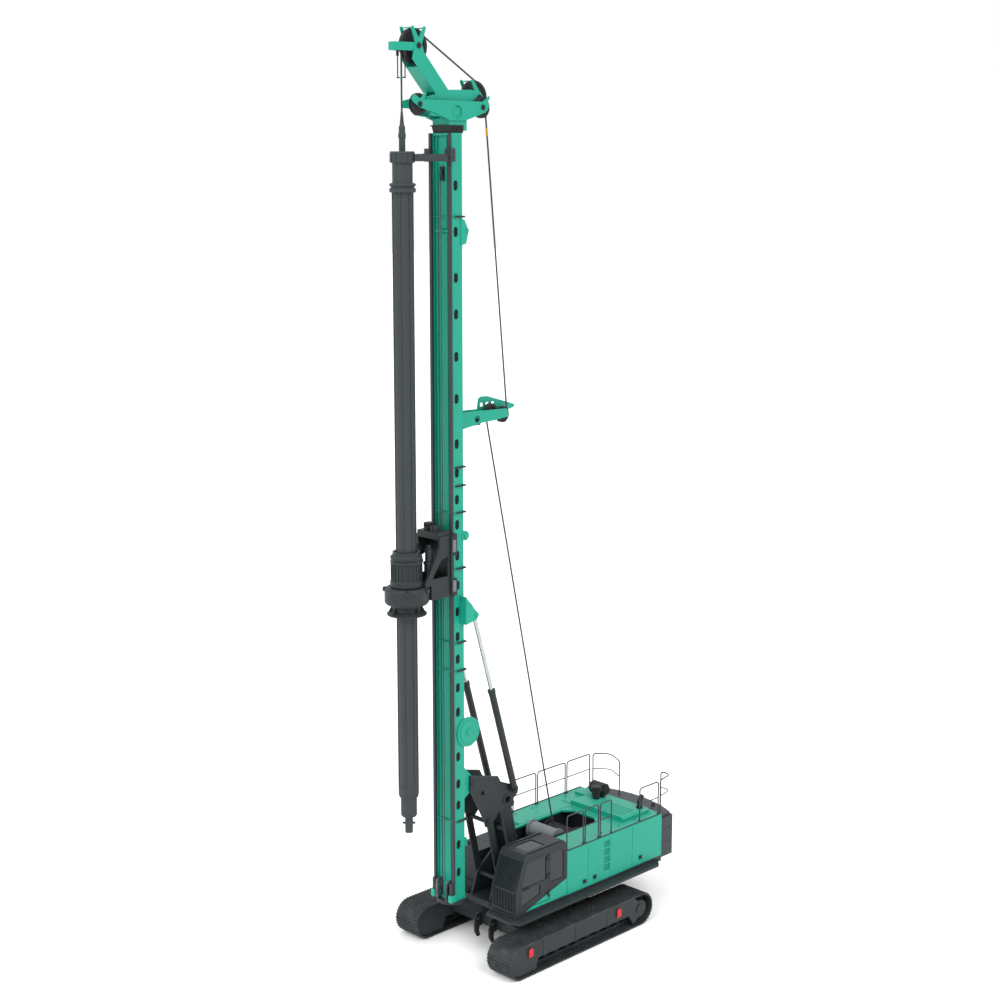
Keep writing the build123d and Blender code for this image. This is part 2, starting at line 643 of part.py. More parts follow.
SIDE_GLASS = (CAB_REAR + 280.0, CAB_FRONT - 520.0)
GLASS_BOTTOM = DECK_TOP + 624.0
GLASS_TOP = CAB_TOP - 250.0
SCREEN_BOTTOM = DECK_TOP + 274.0
SCREEN_TOP = CAB_TOP - 160.0
SCREEN_EDGE = 90.0
BACK_EDGE = 130.0
HATCH = (CAB_REAR + 680.0, CAB_REAR + 1380.0)
HATCH_EDGE = 200.0


def cab_shell():
    """The hollow cab without its door: walls, floor, roof and the openings for glass and door."""
    low, high = CAB_INNER, BODY_SIDE
    room = plate_y(cab_outline(CAB_WALL), low + CAB_WALL, high - CAB_WALL)
    shape = plate_y(cab_outline(), low, high) - room
    wall = (high - CAB_WALL - 5, high + 5)
    shape = shape - plate_y(grow(DOOR, DOOR_GAP), *wall) - plate_y(REAR_WINDOW, *wall)
    shape = shape - span(SIDE_GLASS, (low - 5, low + CAB_WALL + 5), (GLASS_BOTTOM, GLASS_TOP))
    shape = shape - span((CAB_REAR - 5, CAB_REAR + CAB_WALL + 5), (low + BACK_EDGE, high - BACK_EDGE),
                         (GLASS_BOTTOM, GLASS_TOP))
    shape = shape - span((CAB_FRONT - 460, CAB_FRONT + 5), (low + SCREEN_EDGE, high - SCREEN_EDGE),
                         (SCREEN_BOTTOM, SCREEN_TOP))
    shape = shape - span(HATCH, (low + HATCH_EDGE, high - HATCH_EDGE), (CAB_TOP - 80, CAB_TOP + 5))
    crest = CAB_TOP + 35
    rim = [(CAB_FRONT - 420, CAB_TOP), (CAB_FRONT - 520, crest), (CAB_REAR + 200, crest),
           (CAB_REAR + 140, CAB_TOP)]
    rims = [plate_y(rim, low + 40, low + 90), plate_y(rim, high - 90, high - 40)]
    return fuse([shape] + rims + [hinge_pin(z) for z in DOOR_HINGES])


def cab_glass():
    """The fixed panes, each seated in its opening."""
    low, high = CAB_INNER, BODY_SIDE
    return [plate_y(front_strip(-PANE_IN - PANE, -PANE_IN, SCREEN_BOTTOM, SCREEN_TOP), low + SCREEN_EDGE,
                    high - SCREEN_EDGE),
            plate_y(REAR_WINDOW, high - PANE_IN - PANE, high - PANE_IN),
            span(SIDE_GLASS, (low + PANE_IN, low + PANE_IN + PANE), (GLASS_BOTTOM, GLASS_TOP)),
            span((CAB_REAR + PANE_IN, CAB_REAR + PANE_IN + PANE), (low + BACK_EDGE, high - BACK_EDGE),
                 (GLASS_BOTTOM, GLASS_TOP)),
            span(HATCH, (low + HATCH_EDGE, high - HATCH_EDGE),
                 (CAB_TOP - PANE_IN - PANE, CAB_TOP - PANE_IN))]


BAR_COUNT = 15
BAR = 22.0
GUARD_EDGE = 40.0
GUARD_BOTTOM = DECK_TOP + 60.0
GUARD_TOP = CAB_TOP - 110.0
GUARD_OFF = 8.0


def cab_guard():
    """The barred guard over the cab's whole front, on three cross bars."""
    low, high = CAB_INNER + GUARD_EDGE, BODY_SIDE - GUARD_EDGE
    lean = front_strip(GUARD_OFF, GUARD_OFF + BAR, GUARD_BOTTOM, GUARD_TOP)
    step = (high - low - BAR) / (BAR_COUNT - 1)
    bars = [plate_y(lean, low + i * step, low + i * step + BAR) for i in range(BAR_COUNT)]
    for z in (GUARD_BOTTOM, LEAN_START - 30):
        bars.append(span((CAB_FRONT, CAB_FRONT + GUARD_OFF + BAR), (low, high), (z, z + 40)))
    z0, z1 = GUARD_TOP - 50, GUARD_TOP
    deep = GUARD_OFF + BAR
    bars.append(plate_y([(cab_front(z0), z0), (cab_front(z0) + deep, z0), (cab_front(z1) + deep, z1),
                         (cab_front(z1), z1)], low, high))
    return fuse(bars)


HANDLE_X = DOOR_FRONT - 130.0


def cab_door():
    """The side door as thick as the wall, with its two windows cut and its handle."""
    panel = plate_y(DOOR, BODY_SIDE - CAB_WALL + 5, BODY_SIDE)
    for window in (DOOR_WINDOW, LOW_WINDOW):
        panel = panel - plate_y(window, BODY_SIDE - CAB_WALL - 5, BODY_SIDE + 5)
    grip = [span((HANDLE_X - 15, HANDLE_X + 15), (BODY_SIDE - 1, BODY_SIDE + 45), (SILL - 62, SILL - 38)),
            span((HANDLE_X - 215, HANDLE_X - 185), (BODY_SIDE - 1, BODY_SIDE + 45), (SILL - 62, SILL - 38)),
            span((HANDLE_X - 215, HANDLE_X + 15), (BODY_SIDE + 30, BODY_SIDE + 50), (SILL - 62, SILL - 38))]
    return fuse([panel] + grip + [hinge_knuckle(z) for z in DOOR_HINGES])


def seat():
    """The operator's seat on its plinth, and the console before it."""
    y = (CAB_INNER + BODY_SIDE) / 2
    x = CAB_REAR + 400
    floor = DECK_TOP + CAB_WALL
    plinth = span((x + 140, x + 560), (y - 180, y + 180), (floor, floor + 300))
    cushion = span((x + 60, x + 660), (y - 250, y + 250), (floor + 300, floor + 430))
    back = plate_y([(x + 60, floor + 380), (x + 180, floor + 430), (x + 120, floor + 1080),
                    (x, floor + 1080)],
                   y - 240, y + 240)
    rest = span((x + 10, x + 100), (y - 130, y + 130), (floor + 1060, floor + 1220))
    console = plate_y([(CAB_FRONT - 500, floor), (CAB_FRONT - 400, floor), (CAB_FRONT - 360, floor + 620),
                       (CAB_FRONT - 500, floor + 700)], y - 180, y + 180)
    arms = [span((x + 120, x + 520), (y + s - 40, y + s + 40), (floor + 430, floor + 620))
            for s in (-270, 270)]
    return [fuse([plinth, cushion, back, rest] + arms), console]


save("cab_shell", [cab_shell()])
save("cab_glass", cab_glass())
save("cab_guard", [cab_guard()])
save("cab_door", [cab_door()])
save("door_glass", [plate_y(w, BODY_SIDE - PANE_IN - PANE, BODY_SIDE - PANE_IN)
                    for w in (DOOR_WINDOW, LOW_WINDOW)])
save("operator_seat", seat())

# Winches: columns are name, x, height over the deck, drum radius, flange radius, half length
Winch = namedtuple("Winch", "name x rise drum flange half")
WINCHES = [Winch("main", -1560.0, 854.0, 260.0, 400.0, 520.0),
           Winch("aux", -820.0, 1164.0, 190.0, 260.0, 520.0)]
WINCH_PLATE = 50.0
WINCH_PLAY = 15.0
AXLE = 70.0
WINCH_BASE = 60.0


def winch_frame():
    """The side plates that carry both winch drums, on a base between the housings."""
    shapes = []
    for w in WINCHES:
        z = DECK_TOP + w.rise
        plate = [(w.x - 330, DECK_TOP), (w.x + 330, DECK_TOP), (w.x + 200, z + 120), (w.x - 200, z + 120)]
        inner = w.half + WINCH_PLAY
        outer = inner + WINCH_PLATE
        cap = rod_y(w.x, z, w.drum - 40, outer, outer + 60)
        shapes += both_sides([plate_y(plate, inner, outer), cap])
        shapes.append(rod_y(w.x, z, AXLE, -inner - 5, inner + 5))
    reach = WINCHES[0].half + WINCH_PLAY + WINCH_PLATE
    shapes.append(span((WINCHES[0].x - 390, WEB_REAR - 10), (-reach, reach),
                       (DECK_TOP, DECK_TOP + WINCH_BASE)))
    return fuse(shapes)


def drum(w):
    """One winch drum with its two flanges, running on its axle."""
    h = w.half
    rim = 35
    profile = [(AXLE + FIT, -h), (w.flange, -h), (w.flange, -h + rim), (w.drum, -h + rim),
               (w.drum, h - rim), (w.flange, h - rim), (w.flange, h), (AXLE + FIT, h)]
    return turned_y(w.x, 0, DECK_TOP + w.rise, profile)


save("winch_frame", [winch_frame()])
for winch in WINCHES:
    save(f"{winch.name}_winch_drum", [drum(winch)])

RAIL_TUBE = 17.0
RAIL_POST = 20.0
RAIL_HEIGHT = 1000.0
RAIL_MID = 500.0
RAIL_EDGE = 64.0
RAIL_Y = BODY_SIDE - RAIL_EDGE


def handrail(feet):
    """A rail along a line of (x, y) feet on the housings: posts, a top tube and a middle tube."""
    shapes = [rod_z(x, y, RAIL_POST, BODY_TOP, BODY_TOP + RAIL_HEIGHT + RAIL_POST) for x, y in feet]
    for a, b in zip(feet, feet[1:]):
        for height in (RAIL_MID, RAIL_HEIGHT):
            shapes.append(rod((a[0], a[1], BODY_TOP + height), (b[0], b[1], BODY_TOP + height), RAIL_TUBE))
    return fuse(shapes)


# Handrail panels: each is a line of feet, as (distance in front of the housings' rear, y)
RAILS = [[(2130, -RAIL_Y), (3060, -RAIL_Y)], [(1060, -RAIL_Y), (2050, -RAIL_Y)],
         [(70, -500), (70, -RAIL_Y), (980, -RAIL_Y)], [(2560, RAIL_Y), (3940, RAIL_Y)],
         [(960, RAIL_Y), (2030, RAIL_Y)], [(60, RAIL_Y), (880, RAIL_Y)]]
save("handrails", [handrail([(BODY_REAR + x, y) for x, y in feet]) for feet in RAILS])

FILTER_X = BODY_REAR + 410.0
FILTER_RADIUS = 190.0
PIPE_RADIUS = 70.0


def exhaust():
    """The air cleaner and its elbow on the raised hood, and the tail pipe behind it."""
    top = BODY_TOP + HOOD_RISE
    low = BODY_TOP + HOOD_LOW
    z = top + FILTER_RADIUS
    canister = fuse([rod_y(FILTER_X, z, FILTER_RADIUS, -740, -250),
                     rod_y(FILTER_X, z, FILTER_RADIUS - 50, -800, -190),
                     span((FILTER_X - 100, FILTER_X + 100), (-700, -350), (low, z))])
    stack = FILTER_X + 350
    elbow = fuse([rod_z(stack, -300, 110, top, z + 110),
                  rod((stack, -300, z + 50), (FILTER_X, -300, z + 10), 90),
                  rod_z(stack, -300, 150, z + 110, z + 200)])
    x = FILTER_X - 120
    pipe = fuse([rod_z(x, 1000, PIPE_RADIUS, low, low + 240),
                 rod_z(x, 1000, PIPE_RADIUS + 30, low, low + 40),
                 rod((x, 1000, low + 200), (x - 120, 1000, low + 370), PIPE_RADIUS)])
    return [fuse([canister, elbow]), pipe]


save("exhaust_and_filter", exhaust())


# Boom, links, cradle and their cylinders

BOOM_VEC = (CRADLE_BORE[0] - BOOM_PIN[0], CRADLE_BORE[1] - BOOM_PIN[1])
LINK_TOP = (LINK_PIN[0] + BOOM_VEC[0], LINK_PIN[1] + BOOM_VEC[1])


def bar_outline(a, b, ra, rb, steps=8):
    """The outline in (x, z) of a bar with round ends about two points."""
    angle = math.atan2(b[1] - a[1], b[0] - a[0])
    points = []
    for centre, radius, start in ((b, rb, angle - math.pi / 2), (a, ra, angle + math.pi / 2)):
        for i in range(steps + 1):
            t = start + math.pi * i / steps
            points.append((centre[0] + radius * math.cos(t), centre[1] + radius * math.sin(t)))
    return points


def along(a, b, distance):
    """The point at a distance from a toward b, both in (x, z)."""
    length = math.dist(a, b)
    return (a[0] + (b[0] - a[0]) * distance / length, a[1] + (b[1] - a[1]) * distance / length)


BOOM_OUT = WEB_Y - SIDE_PLAY - 10
BOOM_IN = BOOM_OUT - BOOM_BAR


def boom_arm():
    """The main boom: two side bars joined by a cross tube, with the cylinder's lugs between them."""
    bars = both_sides([plate_y(bar_outline(BOOM_PIN, CRADLE_BORE, 170, 190), BOOM_IN, BOOM_OUT)])
    tie = along(BOOM_PIN, CRADLE_BORE, 830)
    shape = fuse(bars + [rod_y(tie[0], tie[1], 100, -BOOM_IN - 10, BOOM_IN + 10)])
    shape = drill_y(shape, BOOM_PIN, BOOM_PIN_RADIUS + FIT)
    ear = [(CRADLE_BORE[0], CRADLE_BORE[1] - 180), (CRADLE_BORE[0] - 150, CRADLE_BORE[1] + 60)]
    ear[1:1] = around(BOOM_CYL_EYE, [(40, -90), (-80, -60), (-90, 60), (0, 100)])
    lug = plate_y(ear, BOOM_IN - 90, BOOM_IN + 10)
    pin = rod_y(BOOM_CYL_EYE[0], BOOM_CYL_EYE[1], EYE_PIN_RADIUS, -BOOM_IN + 20, BOOM_IN - 20)
    return drill_y(fuse([shape] + both_sides([lug])), CRADLE_BORE, BORE_RADIUS + FIT) + pin


LINK_IN = WEB_Y + WEB_THICK + SIDE_PLAY
LINK_OUT = LINK_IN + LINK_BAR


def front_links():
    """The front pair of links, outside the webs."""
    shape = fuse(both_sides([plate_y(bar_outline(LINK_PIN, LINK_TOP, 110, 110), LINK_IN, LINK_OUT)]))
    return drill_y(drill_y(shape, LINK_PIN, LINK_PIN_RADIUS + FIT), LINK_TOP, LINK_PIN_RADIUS + FIT)


CRADLE_IN = WEB_Y + SIDE_PLAY
CRADLE_OUT = CRADLE_IN + CRADLE_THICK
CRADLE_OUTLINE = (around(MAST_PIN, [(120, 250), (-930, -20), (-1030, -200)])
                  + around(CRADLE_BORE, [(-440, 280), (-420, 90), (-110, -150)])
                  + around(LINK_TOP, [(-360, 160), (-90, -120), (110, -120), (150, 60)])
                  + around(MAST_PIN, [(140, -160)]))
LIGHTENING = (-340.0, -360.0)


def cradle():
    """The mast cradle: two plates on a cross tube, with pins for mast, links and cylinders."""
    hole = around(MAST_PIN, [LIGHTENING])[0]
    plate = plate_y(CRADLE_OUTLINE, CRADLE_IN, CRADLE_OUT) - rod_y(hole[0], hole[1], 70, 0, 1000)
    boss = rod_y(CRADLE_BORE[0], CRADLE_BORE[1], BORE_RADIUS + 45, CRADLE_IN, CRADLE_OUT + 4)
    tube = rod_y(CRADLE_BORE[0], CRADLE_BORE[1], BORE_RADIUS, -CRADLE_OUT - 30, CRADLE_OUT + 30)
    shape = fuse(both_sides([plate, boss]) + [tube])
    shape = drill_y(shape, CRADLE_BORE, BORE_RADIUS - 45)
    link_end = LINK_OUT + 20
    pins = [rod_y(LINK_TOP[0], LINK_TOP[1], LINK_PIN_RADIUS, -link_end, link_end),
            rod_y(MAST_PIN[0], MAST_PIN[1], MAST_PIN_RADIUS, -CRADLE_OUT - 20, CRADLE_OUT + 20)]
    stub = rod_y(MAST_CYL_BASE[0], MAST_CYL_BASE[1], EYE_PIN_RADIUS, CRADLE_OUT - 30, CYL_Y + 90)
    return fuse([shape] + pins + both_sides([stub]))


# Cylinders: columns are base, eye, barrel length, barrel radius, rod radius, length of rod
# inside the barrel, stroke left below the rod, base pin radius, y values
Ram = namedtuple("Ram", "base eye barrel outer rod inside stroke pin ys")
RAMS = {"boom_cylinder": Ram(BOOM_CYL_BASE, BOOM_CYL_EYE, 1180.0, 125.0, 75.0, 600.0, 100.0, CYL_PIN_RADIUS,
                             (0.0,)),
        "mast_cylinder": Ram(MAST_CYL_BASE, MAST_CYL_EYE, 3200.0, 95.0, 58.0, 600.0, 420.0, EYE_PIN_RADIUS,
                             (-CYL_Y, CYL_Y))}
EYE_HALF = 60.0
EYE_WALL = 45.0
GLAND = 14.0


def at_y(point, y):
    """A point in (x, z) put at a y."""
    return (point[0], y, point[1])


def ram_barrel(ram, y):
    """A cylinder's barrel with its base eye and gland, bored for the rod and its stroke."""
    def place(distance):
        return at_y(along(ram.base, ram.eye, distance), y)
    body = rod(place(ram.outer * 0.9), place(ram.barrel), ram.outer)
    ring = rod(place(ram.barrel - 90), place(ram.barrel), ram.outer + GLAND)
    eye = rod_y(ram.base[0], ram.base[1], ram.outer, y - EYE_HALF, y + EYE_HALF)
    neck = rod(place(0), place(ram.outer * 1.1), EYE_HALF - 2)
    depth = ram.barrel - ram.inside - ram.stroke
    shape = fuse([body, ring, eye, neck]) - rod(place(depth), place(ram.barrel + 50), ram.rod + FIT)
    return drill_y(shape, ram.base, ram.pin + FIT)


def ram_rod(ram, y):
    """A cylinder's bright rod, whose eye leaves play round its pin."""
    bar = rod(at_y(along(ram.base, ram.eye, ram.barrel - ram.inside), y), at_y(ram.eye, y), ram.rod)
    hole = EYE_PIN_RADIUS + OPEN_PLAY
    eye = rod_y(ram.eye[0], ram.eye[1], hole + EYE_WALL, y - EYE_HALF, y + EYE_HALF)
    return drill_y(fuse([bar, eye]), ram.eye, hole)


save("boom_arm", [boom_arm()])
save("front_links", [front_links()])
save("mast_cradle", [cradle()])
for ram_name, ram in RAMS.items():
    save(f"{ram_name}_barrel", [ram_barrel(ram, y) for y in ram.ys])
    save(f"{ram_name}_rod", [ram_rod(ram, y) for y in ram.ys])


# Mast: heights of the side holes and joint flanges over its lower end

HOLES = (820, 1610, 2740, 3340, 4110, 5360, 6040, 6830, 7450, 8130, 8850, 9650, 10480, 11150, 11860, 12620,
         13800, 14890, 15980, 16910, 18070, 19230)
JOINTS = (2280.0, 6510.0, 7280.0, 9300.0, 10800.0, 18450.0)
FLANGE = 20.0
PIN_LUG = (WEB_Y - 105.0, WEB_Y - 10.0)
EAR_GAP = 10.0
EAR = 40.0
FOOT_RADIUS = 420.0
PULLEY = (-60.0, 10150.0)
PULLEY_RADIUS = 130.0
FOLD_RISE = 18070.0


def oval_slot(z):
    """The cutter of one oval side hole, centred on the mast's depth."""
    x = (MAST_FRONT + MAST_REAR) / 2
    half = (HOLE_HEIGHT - HOLE_WIDTH) / 2
    r = HOLE_WIDTH / 2
    return fuse([span((x - r, x + r), (0, 60), (z - half, z + half)), rod_y(x, z - half, r, 0, 60),
                 rod_y(x, z + half, r, 0, 60)])


def mast_column():
    """The box column: front channel, oval side holes, joint flanges, rear lugs and the round foot."""
    face = MAST_FRONT - RAIL
    column = span((MAST_REAR, face), (-COLUMN_SIDE, COLUMN_SIDE), (MAST_BOTTOM, MAST_TOP))
    inner = MAST_SIDE - RAIL_WIDTH - 30
    column = column - span((face - CHANNEL_DEPTH, face + 1), (-inner, inner),
                           (MAST_BOTTOM + 60, MAST_TOP - 60))
    rib = span((face - CHANNEL_DEPTH - 1, face - 20), (-inner + 90, -inner + 110),
               (MAST_BOTTOM + 60, MAST_TOP - 60))
    flanges = [span((MAST_REAR - 25, face - RAIL), (-MAST_SIDE, MAST_SIDE),
                    (MAST_BOTTOM + z - FLANGE, MAST_BOTTOM + z + FLANGE))
               for z in JOINTS]
    steps = [span((face - CHANNEL_DEPTH - 1, face - 5), (-inner - 1, inner + 1),
                  (MAST_BOTTOM + z - 8, MAST_BOTTOM + z + 8))
             for z in JOINTS]
    shape = fuse([column] + both_sides([rib]) + flanges + steps)
    for z in HOLES:
        for side in (COLUMN_SIDE - 40, -COLUMN_SIDE - 20):
            shape = shape - Pos(0, side, 0) * oval_slot(MAST_BOTTOM + z)
    rear = MAST_REAR + 60
    lug = plate_y([(rear, MAST_PIN[1] - 420)] + around(MAST_PIN, [(-60, -140), (-150, 0), (-60, 140)])
                  + [(rear, MAST_PIN[1] + 620)], *PIN_LUG)
    lug = drill_y(lug, MAST_PIN, MAST_PIN_RADIUS + FIT)
    x, z = MAST_CYL_EYE
    root = MAST_REAR + 150
    ear = [(root, z - 200), (x, z - 120), (x - 110, z), (x, z + 110), (root, z + 560)]
    inside = COLUMN_SIDE - 60
    ears = [plate_y(ear, inside, CYL_Y - EYE_HALF - EAR_GAP),
            plate_y(ear, CYL_Y + EYE_HALF + EAR_GAP, CYL_Y + EYE_HALF + EAR_GAP + EAR),
            plate_y([(root - 60, z - 178), (MAST_REAR - 90, z - 60), (MAST_REAR - 90, z + 300),
                     (root - 60, z + 480),
                     (root, z + 560), (root, z - 200)], inside, CYL_Y + EYE_HALF + EAR_GAP + EAR),
            rod_y(x, z, EYE_PIN_RADIUS, inside + 20, CYL_Y + EYE_HALF + EAR_GAP + EAR + 20)]
    fold = around((MAST_REAR, MAST_BOTTOM + FOLD_RISE),
                  [(60, 340), (-60, 300), (-210, 30), (-120, -300), (60, -340)])
    folds = [plate_y(fold, COLUMN_SIDE - 90, COLUMN_SIDE + 20),
             rod_y(fold[2][0] + 60, fold[2][1], 45, COLUMN_SIDE - 110, COLUMN_SIDE + 45)]
    px, pz = MAST_REAR + PULLEY[0], MAST_BOTTOM + PULLEY[1]
    pulley = [rod_y(px, pz, PULLEY_RADIUS, COLUMN_SIDE - 60, COLUMN_SIDE + 15),
              rod_y(px, pz, PULLEY_RADIUS - 70, COLUMN_SIDE + 15, COLUMN_SIDE + 40)]
    block = [span((MAST_REAR - 120, MAST_REAR + 1), (COLUMN_SIDE - 140, COLUMN_SIDE - 20),
                  (MAST_BOTTOM + 1500 + i * 45, MAST_BOTTOM + 1525 + i * 45)) for i in range(5)]
    block.append(span((MAST_REAR - 70, MAST_REAR + 1), (COLUMN_SIDE - 130, COLUMN_SIDE - 30),
                      (MAST_BOTTOM + 1480, MAST_BOTTOM + 1725)))
    shape = fuse([shape] + both_sides([lug, fuse(ears), fuse(folds), fuse(pulley)]) + block)
    middle = MAST_REAR + 120
    foot = [rod_z(middle, 0, FOOT_RADIUS, MAST_BOTTOM - 90, MAST_BOTTOM - 30),
            rod_z(middle, 0, FOOT_RADIUS - 120, MAST_BOTTOM - 60, MAST_BOTTOM + 30)]
    return fuse([shape] + foot)


FOOT_GUIDE = 520.0


def mast_rails():
    """The two guide rails at the mast's front corners, each on a stop block at the foot."""
    low = MAST_BOTTOM + 30
    rail = span((MAST_FRONT - RAIL, MAST_FRONT), (MAST_SIDE - RAIL_WIDTH, MAST_SIDE), (low, MAST_TOP))
    guide = span((MAST_FRONT, MAST_FRONT + 70), (MAST_SIDE - 100, MAST_SIDE - 20),
                 (low + 40, low + FOOT_GUIDE))
    stop = span((MAST_FRONT - RAIL, MAST_FRONT + 90), (MAST_SIDE - 110, MAST_SIDE + 10),
                (low - 55, low + 40))
    return both_sides([fuse([rail, guide, stop])])


CROWD_RISE = 4740.0
CROWD_BACK = 130.0
CROWD_RADIUS = 410.0


def crowd_winch():
    """The crowd winch behind the mast's lower part: a round stepped plate on each side."""
    x, z = MAST_REAR - CROWD_BACK, MAST_BOTTOM + CROWD_RISE
    side = COLUMN_SIDE
    disc = fuse([rod_y(x, z, CROWD_RADIUS, side, side + 40),
                 rod_y(x, z, CROWD_RADIUS - 90, side + 40, side + 55),
                 rod_y(x, z, 90, side + 55, side + 85)])
    cut = span((MAST_REAR, x + CROWD_RADIUS + 100), (-side - 100, side + 100),
               (z - CROWD_RADIUS, z + CROWD_RADIUS))
    return fuse(both_sides([disc]) + [rod_y(x, z, CROWD_RADIUS - 80, -side, side) - cut])


save("mast_column", [mast_column()])
save("mast_rails", mast_rails())
save("crowd_winch", [crowd_winch()])

# Sheaves: columns are name, x, y, z, outer radius, width
Sheave = namedtuple("Sheave", "name x y z radius width")
GROOVE = 50.0
ROPE_RADIUS = 14.0
HEAD_RADIUS = 425.0
AUX_RADIUS = 270.0
AUX_Y = 265.0
GUIDE_RADIUS = 220.0
HEAD_SEAT = 310.0
COLLAR_HIGH = 195.0
HEAD_BASE = MAST_TOP + HEAD_SEAT
BRACKET_RISE = 13170.0
BRACKET = MAST_BOTTOM + BRACKET_RISE
SHEAVES = [Sheave("head_sheave", KELLY_X - HEAD_RADIUS + GROOVE - ROPE_RADIUS, 0.0, HEAD_BASE + 1780.0,
                  HEAD_RADIUS, 110.0),
           Sheave("rear_sheave", MAST_REAR - 760.0, 0.0, HEAD_BASE + 590.0, HEAD_RADIUS, 110.0),
           Sheave("aux_front_sheave", MAST_REAR + 1400.0, AUX_Y, HEAD_BASE + 370.0, AUX_RADIUS, 80.0),
           Sheave("aux_rear_sheave", MAST_REAR - 770.0, AUX_Y, HEAD_BASE + 340.0, AUX_RADIUS, 80.0),
           Sheave("guide_sheave_upper", MAST_REAR - 1350.0, 0.0, BRACKET + 120.0, GUIDE_RADIUS, 90.0),
           Sheave("guide_sheave_lower", MAST_REAR - 1800.0, 0.0, BRACKET, GUIDE_RADIUS, 90.0)]
SHEAVE = {s.name: s for s in SHEAVES}
PIN = 50.0


def sheave(s):
    """A grooved rope sheave running on its pin."""
    w = s.width / 2
    rim = s.radius
    hub = PIN + 30
    profile = [(PIN + FIT, -w), (hub, -w), (hub, -w + 20), (rim - 95, -w + 20), (rim - 80, -w), (rim, -w),
               (rim - GROOVE, -ROPE_RADIUS), (rim - GROOVE, ROPE_RADIUS), (rim, w), (rim - 80, w),
               (rim - 95, w - 20), (hub, w - 20), (hub, w), (PIN + FIT, w)]
    return turned_y(s.x, s.y, s.z, profile)


for item in SHEAVES:
    save(item.name, [sheave(item)])

HEAD_OUTER = (318.0, 343.0)
COLLAR_SIDE = COLUMN_SIDE - 60.0
HEAD_INNER = (195.0, 220.0)
BEAM_REACH = 720.0
BEAM_TIP = 95.0
HANG_Y = 135.0
HANG_DROP = 655.0
WINDOW = 150.0
HEAD_GUARD = 16.0


def rope_guard(s, angle, reach, inner, outer):
    """A lug from a sheave's pin past its rim, with a guard pin across at its tip."""
    t = math.radians(angle)
    tip = (s.x + reach * math.cos(t), s.z + reach * math.sin(t))
    lug = plate_y(bar_outline((s.x, s.z), tip, 90, 40), inner, outer)
    return lug, rod_y(tip[0], tip[1], HEAD_GUARD, -outer + 5, outer - 5)


